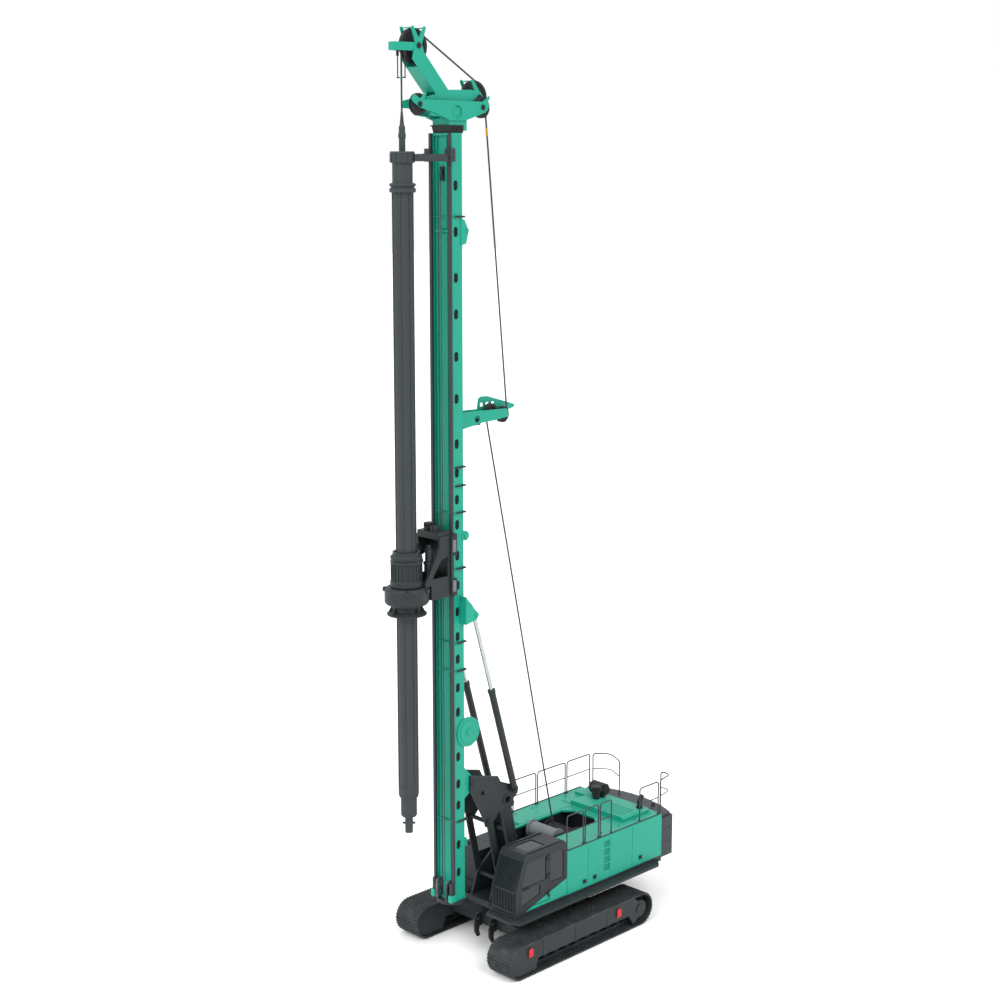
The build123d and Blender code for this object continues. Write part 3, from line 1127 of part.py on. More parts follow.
def mast_head():
    """The head: outer plates, inner plates with the rising arm, pins for the sheaves and rope guards."""
    head, rear = SHEAVE["head_sheave"], SHEAVE["rear_sheave"]
    front_aux, rear_aux = SHEAVE["aux_front_sheave"], SHEAVE["aux_rear_sheave"]
    base = HEAD_BASE
    rear_half = (around((rear_aux.x, rear_aux.z), [(20, 140), (-150, 230), (-240, 30), (-90, -130)])
                 + [(MAST_REAR - 160, base + 5), (MAST_FRONT - 60, base + 5)])
    nose = around((front_aux.x, front_aux.z), [(-20, -90), (210, 40), (280, 130), (170, 240), (-30, 120)])
    near_plate = rear_half + [(MAST_FRONT + 540, base + 200)] + nose
    far_plate = rear_half + [(MAST_FRONT + 540, base + 200), (MAST_FRONT + 560, base + 480)]
    inner = ([(MAST_FRONT + 320, base + 660)]
             + around((head.x, head.z), [(214, -320), (154, -60), (24, 120), (-126, -20), (-176, -160)])
             + [(MAST_REAR + 330, base + 750)]
             + around((rear.x, rear.z), [(310, 180), (-30, 140), (-160, 0), (-90, -180)])
             + [(MAST_REAR - 250, base + 30), (MAST_FRONT + 100, base + 30), (MAST_FRONT + 300, base + 210)])
    window = (MAST_REAR + 130, base + 215)
    plates = [plate_y(near_plate, *HEAD_OUTER), plate_y(far_plate, -HEAD_OUTER[1], -HEAD_OUTER[0])]
    rim = rod_y(window[0], window[1], WINDOW + 35, HEAD_OUTER[0], HEAD_OUTER[1] + 8)
    plates = [drill_y(plate, window, WINDOW) for plate in plates + both_sides([rim])]
    pins = [rod_y(s.x, s.z, PIN, -HEAD_INNER[1], HEAD_INNER[1]) for s in (head, rear)]
    aux_pins = [rod_y(s.x, s.z, PIN, HEAD_INNER[0] + 5, HEAD_OUTER[1]) for s in (front_aux, rear_aux)]
    stay = plate_y(around((front_aux.x, front_aux.z), [(-90, -90), (90, -90), (90, 90)])
                   + [(MAST_FRONT + 400, base + 610), (MAST_FRONT + 100, base + 610),
                      (MAST_FRONT + 100, base + 110)],
                   HEAD_INNER[0], HEAD_INNER[0] + 17)
    cheek = plate_y([(MAST_FRONT + 560, base + 340), (MAST_FRONT + 560, base + 120),
                     (MAST_FRONT + 20, base + 60), (MAST_REAR - 160, base + 60),
                     (MAST_REAR - 160, base + 340)], HEAD_INNER[1] - 1, HEAD_OUTER[0] + 1)
    lugs, aux_lugs, guards = [], [], []
    for s, angle in ((head, 65), (head, 115), (rear, 60)):
        lug, guard = rope_guard(s, angle, s.radius + 40, *HEAD_INNER)
        lugs.append(lug)
        guards.append(guard)
    for s, angle in ((front_aux, 125), (front_aux, 200), (rear_aux, 130)):
        t = math.radians(angle)
        tip = (s.x + (s.radius + 60) * math.cos(t), s.z + (s.radius + 60) * math.sin(t))
        aux_lugs.append(plate_y(bar_outline((s.x, s.z), tip, 80, 30), *HEAD_OUTER))
    top, low = head.z + 70, head.z - 130
    end = head.x + BEAM_REACH
    beam = both_sides([plate_z([(head.x, HEAD_INNER[0]), (head.x, HEAD_INNER[1]), (end, BEAM_TIP),
                                (end, BEAM_TIP - 25)], low, top)])
    beam.append(span((end - 60, end), (-BEAM_TIP, BEAM_TIP), (low, top)))
    hang = low - HANG_DROP
    hangers = both_sides([rod_z(KELLY_X, HANG_Y, 12, hang + 10, low + 10),
                          rod_z(KELLY_X, HANG_Y, 32, low - 120, low + 1)])
    ring = span((KELLY_X - 12, KELLY_X + 12), (-HANG_Y - 20, HANG_Y + 20), (hang, hang + 24))
    ring = fuse([ring, rod_z(KELLY_X, 0, 50, hang, hang + 24)]) - rod_z(KELLY_X, 0, 32, hang - 1, hang + 25)
    floor = span((MAST_REAR - 120, MAST_FRONT - 60), (-HEAD_OUTER[1], HEAD_OUTER[1]), (base, base + 50))
    core = span((MAST_REAR - 120, MAST_FRONT - 60), (-COLLAR_SIDE, COLLAR_SIDE),
                (MAST_TOP + COLLAR_HIGH, base + 1))
    heel = span((MAST_REAR - 230, MAST_REAR - 119), (-COLLAR_SIDE, COLLAR_SIDE), (MAST_TOP + 60, base + 60))
    arm_root, arm_tip = (MAST_REAR + 340, base + 750), (head.x - 360, head.z - 380)
    front_root, front_tip = (MAST_FRONT + 340, base + 681), (head.x + 34, head.z - 513)
    decks = [plate_y([arm_root, (arm_root[0] + 40, arm_root[1] - 40), (arm_tip[0] + 35, arm_tip[1] - 35),
                      arm_tip],
                     -HEAD_INNER[0] - 5, HEAD_INNER[0] + 5),
             plate_y([front_root, front_tip, (front_tip[0] - 29, front_tip[1] + 27),
                      (front_root[0] - 29, front_root[1] + 27)],
                     -HEAD_INNER[0] - 5, HEAD_INNER[0] + 5)]
    walls = plates + both_sides([plate_y(inner, *HEAD_INNER), stay, cheek]) + decks
    seats = pins + aux_pins + both_sides(lugs) + aux_lugs + guards
    return fuse(walls + seats + beam + hangers + [ring, floor, core, heel])


def head_collar():
    """The dark tapered collar between the mast and its head, with a thin top plate."""
    low, high = MAST_TOP, MAST_TOP + COLLAR_HIGH
    x0, x1 = MAST_REAR - 100, MAST_FRONT - 40
    side = [(x0 + 20, low), (x1 - 60, low), (x1, high - 25), (x1 + 60, high - 25), (x1 + 60, high),
            (x0, high)]
    core = plate_y(side, -COLLAR_SIDE - 20, COLLAR_SIDE + 20)
    ribs = [span((x0 + 60 + i * 80, x0 + 85 + i * 80), (-COLLAR_SIDE - 32, COLLAR_SIDE + 32),
                 (low + 20, high - 30))
            for i in range(5)]
    return fuse([core] + ribs)


BRACKET_PLATE = (150.0, 180.0)
BRACKET_SIDE = [(0, -250), (0, 210), (-720, 206), (-1790, 172), (-1870, 60), (-1850, -50), (-1370, -100),
                (-900, -119)]
BRACKET_HIGH = [(-1020, 150), (-1060, 462), (-1150, 520), (-1395, 511), (-2077, 312), (-2440, 196),
                (-2385, 120),
                (-1780, 0)]


def rope_bracket():
    """The bracket behind the mast that leads the hoist rope over two sheaves, its far plate higher."""
    root = (MAST_REAR, BRACKET)
    low, high = BRACKET_PLATE
    plate = drill_y(plate_y(around(root, BRACKET_SIDE), low, high), (root[0] - 700, root[1] - 5), 95)
    tall = plate_y(around(root, BRACKET_HIGH), -high, -low)
    for i in range(3):
        x = root[0] - 1180 - i * 210
        tall = tall - span((x - 60, x + 60), (-400, 0), (root[1] + 250, root[1] + 350))
    pins = [rod_y(SHEAVE[n].x, SHEAVE[n].z, PIN, -high, high)
            for n in ("guide_sheave_upper", "guide_sheave_lower")]
    tie = span((root[0] - 370, root[0] - 250), (-low - 10, low + 10), (root[1] - 70, root[1] + 180))
    seat = span((root[0] - 30, root[0]), (-300, 300), (root[1] - 280, root[1] + 240))
    return fuse(both_sides([plate]) + [tall] + pins + [tie, seat])


save("head_seat", [head_collar()])
save("mast_head", [mast_head()])
save("rope_bracket", [rope_bracket()])


# Carriage and rotary drive

def rail_pads(z0, z1):
    """Wear pads of a sliding shoe, against the front and the outer side of each mast rail."""
    front = span((MAST_FRONT + PAD_FIT, MAST_FRONT + SIDE_PLAY + 1),
                 (MAST_SIDE - RAIL_WIDTH + 10, MAST_SIDE - 10), (z0, z1))
    side = span((MAST_FRONT - RAIL + 8, MAST_FRONT - 4), (MAST_SIDE + PAD_FIT, MAST_SIDE + SIDE_PLAY + 1),
                (z0, z1))
    return both_sides([front, side])


SHOE_WALL = 95.0
CARRIAGE_LOW = CASE_BOTTOM + 60.0
CARRIAGE_TOP = CASE_BOTTOM + 1610.0
LOW_SHOE = (CARRIAGE_LOW, CARRIAGE_LOW + 460.0)
TOP_SHOE = (CARRIAGE_TOP - 470.0, CARRIAGE_TOP + 110.0)
PLATE_Y = (380.0, 440.0)
ARM_X = MAST_FRONT + 780.0
FOOT_X = ARM_X + 230.0


def carriage():
    """The sledge on the mast rails: back frame, shoes, and side plates with a three-cornered window."""
    front = MAST_FRONT + SIDE_PLAY
    wide = MAST_SIDE + 70
    shapes = [span((front, front + 90), (-wide, wide), (CARRIAGE_LOW + 20, CARRIAGE_TOP + 110))]
    for z0, z1 in (LOW_SHOE, TOP_SHOE):
        shoe = span((MAST_FRONT - RAIL - 30, front + 40),
                    (MAST_SIDE + SIDE_PLAY, MAST_SIDE + SHOE_WALL + SIDE_PLAY), (z0, z1))
        pad = span((front + 30, front + 100), (MAST_SIDE - 30, MAST_SIDE + SHOE_WALL + SIDE_PLAY),
                   (z0 + 60, z1 - 60))
        shapes += both_sides([shoe, pad]) + rail_pads(z0 + 20, z1 - 20)
    root = front + 60
    side = [(root, CARRIAGE_LOW), (ARM_X, CARRIAGE_LOW), (ARM_X, CASE_TOP), (FOOT_X, CASE_TOP),
            (FOOT_X, CASE_TOP + 90), (root + 420, CARRIAGE_TOP - 190), (root + 420, CARRIAGE_TOP + 80),
            (root, CARRIAGE_TOP + 80)]
    window = [(root + 130, CASE_TOP + 170), (ARM_X - 30, CASE_TOP + 170), (root + 375, CASE_TOP + 620),
              (root + 130, CASE_TOP + 700)]
    plate = plate_y(side, *PLATE_Y) - plate_y(window, PLATE_Y[0] - 80, PLATE_Y[1] + 60)
    strut = plate_y([(FOOT_X - 110, CASE_TOP), (FOOT_X, CASE_TOP), (FOOT_X, CASE_TOP + 90),
                     (root + 420, CARRIAGE_TOP - 190),
                     (root + 340, CARRIAGE_TOP - 220)], PLATE_Y[0], PLATE_Y[1] + 25)
    bar = span((front + 40, front + 110), (MAST_SIDE + 20, MAST_SIDE + SHOE_WALL),
               (LOW_SHOE[1] - 80, TOP_SHOE[0] + 80))
    shapes += both_sides([plate, strut, bar])
    shapes.append(span((root, root + 435), (-400, 400), (CARRIAGE_TOP, CARRIAGE_TOP + 180)))
    shapes.append(span((root, ARM_X - 280), (-400, 400), (CARRIAGE_LOW, CARRIAGE_LOW + 60)))
    tank = fuse([rod_z(root + 300, 120, 110, CARRIAGE_TOP + 180, CARRIAGE_TOP + 330),
                 rod_z(root + 300, -160, 80, CARRIAGE_TOP + 180, CARRIAGE_TOP + 280)])
    return fuse(shapes + [tank])


MOTOR_X = -590.0
MOTOR_Y = 220.0
BORE_PLAY = 5.0


def drive_case():
    """The gear case of the rotary drive with its arm to the carriage, bored for the sleeve."""
    r = CASE_RADIUS
    case = turned_z(KELLY_X, 0, [(0, CASE_BOTTOM), (r - 40, CASE_BOTTOM), (r, CASE_BOTTOM + 50),
                                 (r, CASE_TOP - 60),
                                 (r - 60, CASE_TOP), (0, CASE_TOP)])
    arm = span((ARM_X - 280, KELLY_X), (-PLATE_Y[0] + 2, PLATE_Y[0] - 2), (CARRIAGE_LOW, CASE_TOP - 20))
    lugs = []
    for angle in (50, 115, 245, 310):
        lug = span((r - 40, r + 45), (-60, 60), (CASE_TOP - 120, CASE_TOP - 20))
        lugs.append(Pos(KELLY_X, 0, 0) * Rot(0, 0, angle) * lug)
    motors = []
    for y in (-MOTOR_Y, MOTOR_Y):
        x = KELLY_X + MOTOR_X
        z = CASE_TOP - 20
        motors += [rod_z(x, y, 130, z, z + 560), rod_z(x, y, 150, z + 560, z + 620),
                   rod_z(x, y, 105, z + 620, z + 960),
                   rod_z(x, y, 60, z + 960, z + 1060)]
    shape = fuse([case, arm] + lugs + motors)
    return shape - rod_z(KELLY_X, 0, SLEEVE_RADIUS + BORE_PLAY, CASE_BOTTOM - 400, CASE_TOP + 1600)


NECK_TOP = CASE_TOP + 10.0
SLEEVE_TOP = CASE_TOP + 940.0
SKIRT_RADIUS = 520.0
RIB_COUNT = 24
GUSSET_COUNT = 8


def drive_sleeve():
    """The turning sleeve: ribbed upper case, neck through the gear case, skirt and lower flange."""
    s, land = SLEEVE_RADIUS, SLEEVE_RADIUS + BORE_PLAY - FIT
    z0, z1 = CASE_BOTTOM + 140, CASE_BOTTOM + 280
    up = NECK_TOP
    body = turned_z(KELLY_X, 0, [(SLEEVE_BORE, DRIVE_BOTTOM), (SKIRT_RADIUS, DRIVE_BOTTOM),
                                 (SKIRT_RADIUS, DRIVE_BOTTOM + 30),
                                 (s - 30, DRIVE_BOTTOM + 110), (s - 30, DRIVE_BOTTOM + 200),
                                 (s, DRIVE_BOTTOM + 220),
                                 (s, z0), (land, z0), (land, z1), (s, z1), (s, up), (s + 30, up + 30),
                                 (s + 30, up + 150),
                                 (s - 10, up + 190), (s - 10, up + 610), (s + 20, up + 630),
                                 (s + 20, up + 690),
                                 (s - 10, up + 710), (s - 10, up + 740), (s + 20, up + 755),
                                 (s + 20, up + 800),
                                 (s - 40, up + 860), (s - 40, SLEEVE_TOP), (SLEEVE_BORE, SLEEVE_TOP)])
    ribs = []
    for i in range(RIB_COUNT):
        rib = span((s - 15, s + 12), (-12, 12), (up + 190, up + 630))
        ribs.append(Pos(KELLY_X, 0, 0) * Rot(0, 0, i * 360 / RIB_COUNT) * rib)
    for i in range(GUSSET_COUNT):
        gusset = plate_y([(s - 40, DRIVE_BOTTOM + 20), (SKIRT_RADIUS - 15, DRIVE_BOTTOM + 20),
                          (s - 5, DRIVE_BOTTOM + 230),
                          (s - 40, DRIVE_BOTTOM + 230)], -12, 12)
        ribs.append(Pos(KELLY_X, 0, 0) * Rot(0, 0, i * 360 / GUSSET_COUNT) * gusset)
    return fuse([body] + ribs)


save("carriage", [carriage()])
save("rotary_drive", [drive_case()])
save("drive_sleeve", [drive_sleeve()])


# Kelly bar

KEY_COUNT = 6
KEY_HIGH = 18.0
SHOULDER_DROP = 1000.0
INNER_RADIUS = KELLY_RADIUS - KELLY_WALL
CAP_HEIGHT = 60.0


def kelly_outer():
    """The outer Kelly tube with its keys and the shoulder that hangs under the guide frame."""
    r, end = KELLY_RADIUS, KELLY_TOP - CAP_HEIGHT
    z = KELLY_TOP - SHOULDER_DROP
    tube = turned_z(KELLY_X, 0, [(INNER_RADIUS, KELLY_END), (r, KELLY_END), (r, z), (r + 75, z + 30),
                                 (r + 75, z + 120),
                                 (r + 40, z + 130), (r + 40, z + 170), (r + 75, z + 180), (r + 75, z + 230),
                                 (r, z + 260),
                                 (r, end), (INNER_RADIUS, end)])
    keys = []
    for i in range(KEY_COUNT):
        key = span((r - 10, r + KEY_HIGH), (-20, 20), (KELLY_END + 60, z + 20))
        keys.append(Pos(KELLY_X, 0, 0) * Rot(0, 0, 30 + i * 360 / KEY_COUNT) * key)
    lower = turned_z(KELLY_X, 0, [(INNER_RADIUS + 5, KELLY_END + 60), (r + 12, KELLY_END + 60),
                                  (r + 12, KELLY_END + 300),
                                  (INNER_RADIUS + 5, KELLY_END + 300)])
    return fuse([tube, lower] + keys)


BAR_RADIUS = INNER_RADIUS - 5.0
BAR_TOP = KELLY_TOP - 1900.0
SWIVEL_TOP = KELLY_TOP + 970.0
SWIVEL_RADIUS = 80.0
STUB_TURN = 45.0


def kelly_inner():
    """The inner bar: inside the outer one, with its lower collar, driving stub and the rope swivel."""
    r, land = BAR_RADIUS, INNER_RADIUS - FIT
    z = KELLY_END
    bar = turned_z(KELLY_X, 0, [(0, STUB_TOP), (r, STUB_TOP + 60), (r, z + 20), (land, z + 40),
                                (land, z + 240), (r, z + 260),
                                (r, BAR_TOP), (0, BAR_TOP)])
    collar = turned_z(KELLY_X, 0, [(0, STUB_TOP), (r - 10, STUB_TOP), (r + 15, STUB_TOP + 40),
                                   (r + 15, z - 10), (0, z - 10)])
    half = STUB_WIDTH / 2
    square = [span((-half, half), (-half, half), (STUB_END, STUB_TOP + 20)),
              span((-half + 20, half - 20), (-half + 20, half - 20), (STUB_END - 30, STUB_END)),
              rod_y(0, STUB_TOP - 200, 30, -half - 70, half + 70)]
    drive = Pos(KELLY_X, 0, 0) * Rot(0, 0, STUB_TURN) * fuse(square)
    s = SWIVEL_RADIUS
    swivel = turned_z(KELLY_X, 0, [(0, BAR_TOP - 100), (s, BAR_TOP - 100), (s, SWIVEL_TOP - 640),
                                   (s + 15, SWIVEL_TOP - 620),
                                   (s + 15, SWIVEL_TOP - 520), (s, SWIVEL_TOP - 500), (s, SWIVEL_TOP - 370),
                                   (s - 25, SWIVEL_TOP - 310), (28, SWIVEL_TOP), (0, SWIVEL_TOP)])
    return fuse([bar, collar, drive, swivel])


GUIDE_LOW = KELLY_TOP - 260.0
GUIDE_SHOE = (KELLY_TOP - 230.0, KELLY_TOP + 100.0)
GUIDE_WALL = 45.0


def kelly_guide():
    """The guide frame: a ribbed ring round the Kelly's top and two arms to shoes on the mast rails."""
    r = KELLY_RADIUS
    out = r + GUIDE_WALL
    low, high = GUIDE_LOW, KELLY_TOP - 40
    ring = turned_z(KELLY_X, 0, [(r + 8, low), (out, low), (out, high), (r + 8, high), (r + 8, high - 80),
                                 (r + FIT, high - 90),
                                 (r + FIT, low + 40), (r + 8, low + 30)])
    rib = span((out - 5, out + 14), (-14, 14), (low + 20, high))
    ribs = [Pos(KELLY_X, 0, 0) * Rot(0, 0, i * 30 + 15) * rib for i in range(12)]
    cap = turned_z(KELLY_X, 0, [(SWIVEL_RADIUS + 20, high), (out, high), (out + 15, high + 20),
                                (out, KELLY_TOP + 20),
                                (SWIVEL_RADIUS + 20, KELLY_TOP + 20)])
    front = MAST_FRONT + SIDE_PLAY
    outline = [(front, MAST_SIDE - 90), (front, MAST_SIDE + 60), (KELLY_X - 150, out - 10),
               (KELLY_X - 190, out - 90)]
    z0, z1 = GUIDE_SHOE
    arm = [plate_z(outline, low + 40, high),
           span((MAST_FRONT - RAIL - 40, front + 60), (MAST_SIDE + SIDE_PLAY, MAST_SIDE + SHOE_WALL),
                (z0, z1)),
           span((front, front + 70), (MAST_SIDE - 120, MAST_SIDE + 60), (z0, z1)),
           span((front + 10, front + 90), (MAST_SIDE + 20, MAST_SIDE + SHOE_WALL + 25),
                (z0 + 120, z1 - 120))]
    return fuse([ring, cap] + ribs + both_sides([fuse(arm)]) + rail_pads(z0 + 20, z1 - 20))


save("kelly_outer", [kelly_outer()])
save("kelly_inner", [kelly_inner()])
save("kelly_guide", [kelly_guide()])
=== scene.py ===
import bmesh
import bpy
import json
import math
import numpy as np
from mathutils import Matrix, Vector
from mathutils.bvhtree import BVHTree


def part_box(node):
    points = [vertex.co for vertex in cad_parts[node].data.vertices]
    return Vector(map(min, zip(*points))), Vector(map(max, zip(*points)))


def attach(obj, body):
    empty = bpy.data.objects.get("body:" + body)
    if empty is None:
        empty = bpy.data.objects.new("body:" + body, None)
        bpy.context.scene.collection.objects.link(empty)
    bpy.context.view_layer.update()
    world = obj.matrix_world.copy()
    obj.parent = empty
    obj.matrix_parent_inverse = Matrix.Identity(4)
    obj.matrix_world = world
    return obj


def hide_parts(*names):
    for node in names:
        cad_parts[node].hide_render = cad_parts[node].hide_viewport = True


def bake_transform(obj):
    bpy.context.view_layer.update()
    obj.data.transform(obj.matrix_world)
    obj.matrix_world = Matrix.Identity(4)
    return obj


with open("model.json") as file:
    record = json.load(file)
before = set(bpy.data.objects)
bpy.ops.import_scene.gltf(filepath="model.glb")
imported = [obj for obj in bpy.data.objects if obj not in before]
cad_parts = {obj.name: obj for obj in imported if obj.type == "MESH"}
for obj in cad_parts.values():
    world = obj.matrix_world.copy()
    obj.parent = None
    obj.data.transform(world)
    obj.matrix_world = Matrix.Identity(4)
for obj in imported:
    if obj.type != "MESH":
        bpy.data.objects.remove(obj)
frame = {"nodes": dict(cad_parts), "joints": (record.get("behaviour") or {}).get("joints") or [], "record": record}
NODES = frame["nodes"]
JOINT = {joint["name"]: joint for joint in frame["joints"]}
SLOT = {part["node"]: part["material_slot"] for part in frame["record"]["subparts"]}
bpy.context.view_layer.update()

SIDES = (1, -1)
FORWARD = (1, 0, 0)
ACROSS = (0, 1, 0)
UP = (0, 0, 1)
DOWN = (0, 0, -1)


# Materials

def linear(colour):
    """An sRGB hex colour as linear light: a channel under 0.04045 is divided by 12.92, any other is
    raised by 0.055, divided by 1.055 and taken to the power 2.4."""
    channels = [int(colour[i:i + 2], 16) / 255 for i in (1, 3, 5)]
    return [c / 12.92 if c < 0.04045 else ((c + 0.055) / 1.055) ** 2.4 for c in channels] + [1.0]


def add(material, kind, inputs=None, **settings):
    """One node in a material, with its settings, and each input given a value or linked to a socket."""
    node = material.node_tree.nodes.new(kind)
    for name, value in settings.items():
        setattr(node, name, value)
    for name, value in (inputs or {}).items():
        if isinstance(value, bpy.types.NodeSocket):
            material.node_tree.links.new(value, node.inputs[name])
        else:
            node.inputs[name].default_value = value
    return node


def surface(name, roughness, metallic=0.0, **sockets):
    """A new material with its output and main shader, and the piece's own coordinates in metres."""
    material = bpy.data.materials.new(name)
    material.use_nodes = True
    material.node_tree.nodes.clear()
    shader = add(material, "ShaderNodeBsdfPrincipled", {"Roughness": roughness, "Metallic": metallic,
                                                        **sockets})
    add(material, "ShaderNodeOutputMaterial", {"Surface": shader.outputs["BSDF"]})
    place = add(material, "ShaderNodeTexCoord").outputs["Object"]
    return material, shader, place


def link(material, socket, shader, name):
    """Joins a socket to one input of the shader."""
    material.node_tree.links.new(socket, shader.inputs[name])


def enamel(name, colour, deep, dust, roughness, dusty):
    """Two-pack enamel sprayed on blasted steel plate: an even colour that has faded a little in
    patches of about a metre, a slight orange peel, and gritty dust that lies on what faces up. Real
    orange peel is 3 mm across; here it is 30 mm, so that it breaks up the highlights at this distance."""
    material, shader, place = surface(name, roughness, IOR=1.5, **{"Specular IOR Level": 0.3})
    patches = add(material, "ShaderNodeTexNoise", {"Vector": place, "Scale": 0.9, "Detail": 5.0})
    body = add(material, "ShaderNodeMix", {"Factor": patches.outputs["Fac"], "A": linear(deep),
                                           "B": linear(colour)}, data_type="RGBA")
    facing = add(material, "ShaderNodeNewGeometry").outputs["Normal"]
    up = add(material, "ShaderNodeSeparateXYZ", {"Vector": facing}).outputs["Z"]
    lies = add(material, "ShaderNodeMapRange", {"Value": up, "From Min": 0.55, "From Max": 0.95,
                                                "To Max": dusty})
    grit = add(material, "ShaderNodeTexNoise", {"Vector": place, "Scale": 7.0, "Detail": 8.0})
    film = add(material, "ShaderNodeMath", {0: lies.outputs["Result"], 1: grit.outputs["Fac"]},
               operation="MULTIPLY")
    coat = add(material, "ShaderNodeMix", {"Factor": film.outputs["Value"], "A": body.outputs["Result"],
                                           "B": linear(dust)}, data_type="RGBA")
    link(material, coat.outputs["Result"], shader, "Base Color")
    gloss = add(material, "ShaderNodeMapRange", {"Value": grit.outputs["Fac"], "To Min": roughness - 0.08,
                                                 "To Max": roughness + 0.14})
    link(material, gloss.outputs["Result"], shader, "Roughness")
    peel = add(material, "ShaderNodeTexNoise", {"Vector": place, "Scale": 33.0, "Detail": 2.0})
    bump = add(material, "ShaderNodeBump", {"Height": peel.outputs["Fac"], "Strength": 0.05,
                                            "Distance": 0.002})
    link(material, bump.outputs["Normal"], shader, "Normal")
    return material


def cast_steel(name, colour, worn, roughness, grain):
    """Rolled and cast manganese steel, unpainted: a dull brown-black skin with paler scuffed areas,
    rough to the touch, with a grain of the given size in metres."""
    material, shader, place = surface(name, roughness, metallic=0.55)
    scuff = add(material, "ShaderNodeTexNoise", {"Vector": place, "Scale": 3.2, "Detail": 9.0,
                                                 "Roughness": 0.65})
    bare = add(material, "ShaderNodeMapRange", {"Value": scuff.outputs["Fac"], "From Min": 0.42,
                                                "From Max": 0.68})
    skin = add(material, "ShaderNodeMix", {"Factor": bare.outputs["Result"], "A": linear(colour),
                                           "B": linear(worn)}, data_type="RGBA")
    link(material, skin.outputs["Result"], shader, "Base Color")
    dull = add(material, "ShaderNodeMapRange", {"Value": scuff.outputs["Fac"], "To Min": roughness + 0.15,
                                                "To Max": roughness - 0.15})
    link(material, dull.outputs["Result"], shader, "Roughness")
    pits = add(material, "ShaderNodeTexNoise", {"Vector": place, "Scale": 1 / grain, "Detail": 4.0})
    bump = add(material, "ShaderNodeBump", {"Height": pits.outputs["Fac"], "Strength": 0.25,
                                            "Distance": 0.003})
    link(material, bump.outputs["Normal"], shader, "Normal")
    return material


def chrome(name):
    """Hard chrome ground on a steel rod: a bright mirror, clouded here and there by a film of oil in
    patches of about 200 mm."""
    material, shader, place = surface(name, 0.16, metallic=1.0)
    film = add(material, "ShaderNodeTexNoise", {"Vector": place, "Scale": 5.0, "Detail": 6.0})
    tone = add(material, "ShaderNodeMix", {"Factor": film.outputs["Fac"], "A": linear("#9CA1A4"),
                                           "B": linear("#C4C8CA")}, data_type="RGBA")
    link(material, tone.outputs["Result"], shader, "Base Color")
    gloss = add(material, "ShaderNodeMapRange", {"Value": film.outputs["Fac"], "To Min": 0.1, "To Max": 0.3})
    link(material, gloss.outputs["Result"], shader, "Roughness")
    return material


def tinted_glass(name):
    """Laminated cab glass with a dark tint: almost black from outside, with a clean sharp gloss and
    faint smears of dust about 400 mm across."""
    material, shader, place = surface(name, 0.05, IOR=1.52, **{"Specular IOR Level": 0.4})
    film = add(material, "ShaderNodeTexNoise", {"Vector": place, "Scale": 2.5, "Detail": 7.0})
    tone = add(material, "ShaderNodeMix", {"Factor": film.outputs["Fac"], "A": linear("#101216"),
                                           "B": linear("#1D2227")}, data_type="RGBA")
    link(material, tone.outputs["Result"], shader, "Base Color")
    smear = add(material, "ShaderNodeMapRange", {"Value": film.outputs["Fac"], "To Min": 0.03,
                                                 "To Max": 0.14})
    link(material, smear.outputs["Result"], shader, "Roughness")
    return material


def zinc(name):
    """Hot-dip galvanised tube: pale grey with the soft spangle of zinc, about 15 mm across."""
    material, shader, place = surface(name, 0.42, metallic=0.75)
    spangle = add(material, "ShaderNodeTexVoronoi", {"Vector": place, "Scale": 65.0})
    tone = add(material, "ShaderNodeMix", {"Factor": spangle.outputs["Color"], "A": linear("#8D9397"),
                                           "B": linear("#C6CACC")}, data_type="RGBA")
    link(material, tone.outputs["Result"], shader, "Base Color")
    cloud = add(material, "ShaderNodeTexNoise", {"Vector": place, "Scale": 12.0, "Detail": 3.0})
    gloss = add(material, "ShaderNodeMapRange", {"Value": cloud.outputs["Fac"], "To Min": 0.32,
                                                 "To Max": 0.52})
    link(material, gloss.outputs["Result"], shader, "Roughness")
    return material


def vinyl(name):
    """Black expanded vinyl on foam, as seats are covered in: a fine pressed grain and a low sheen."""
    material, shader, place = surface(name, 0.6, IOR=1.48)
    grain = add(material, "ShaderNodeTexVoronoi", {"Vector": place, "Scale": 160.0})
    cloud = add(material, "ShaderNodeTexNoise", {"Vector": place, "Scale": 6.0, "Detail": 4.0})
    tone = add(material, "ShaderNodeMix", {"Factor": cloud.outputs["Fac"], "A": linear("#1B1C1F"),
                                           "B": linear("#2D2F33")}, data_type="RGBA")
    link(material, tone.outputs["Result"], shader, "Base Color")
    bump = add(material, "ShaderNodeBump", {"Height": grain.outputs["Distance"], "Strength": 0.3,
                                            "Distance": 0.001})
    link(material, bump.outputs["Normal"], shader, "Normal")
    return material


def wire_rope(name):
    """Galvanised steel wire rope under a film of dark grease. Its wires show as slanting bands, read
    from the tube's own map, 18 mm apart along the rope and 30 round it."""
    material, shader, place = surface(name, 0.5, metallic=0.6)
    along = add(material, "ShaderNodeUVMap", uv_map="lay").outputs["UV"]
    strand = add(material, "ShaderNodeTexWave", {"Vector": along, "Scale": 1.0, "Distortion": 0.0},
                 bands_direction="DIAGONAL")
    grime = add(material, "ShaderNodeTexNoise", {"Vector": place, "Scale": 9.0, "Detail": 5.0})
    shade = add(material, "ShaderNodeMath", {0: strand.outputs["Fac"], 1: grime.outputs["Fac"]},
                operation="MULTIPLY")
    tone = add(material, "ShaderNodeMix", {"Factor": shade.outputs["Value"], "A": linear("#1E1F21"),
                                           "B": linear("#6C7073")}, data_type="RGBA")
    link(material, tone.outputs["Result"], shader, "Base Color")
    bump = add(material, "ShaderNodeBump", {"Height": strand.outputs["Fac"], "Strength": 0.6,
                                            "Distance": 0.004})
    link(material, bump.outputs["Normal"], shader, "Normal")
    return material


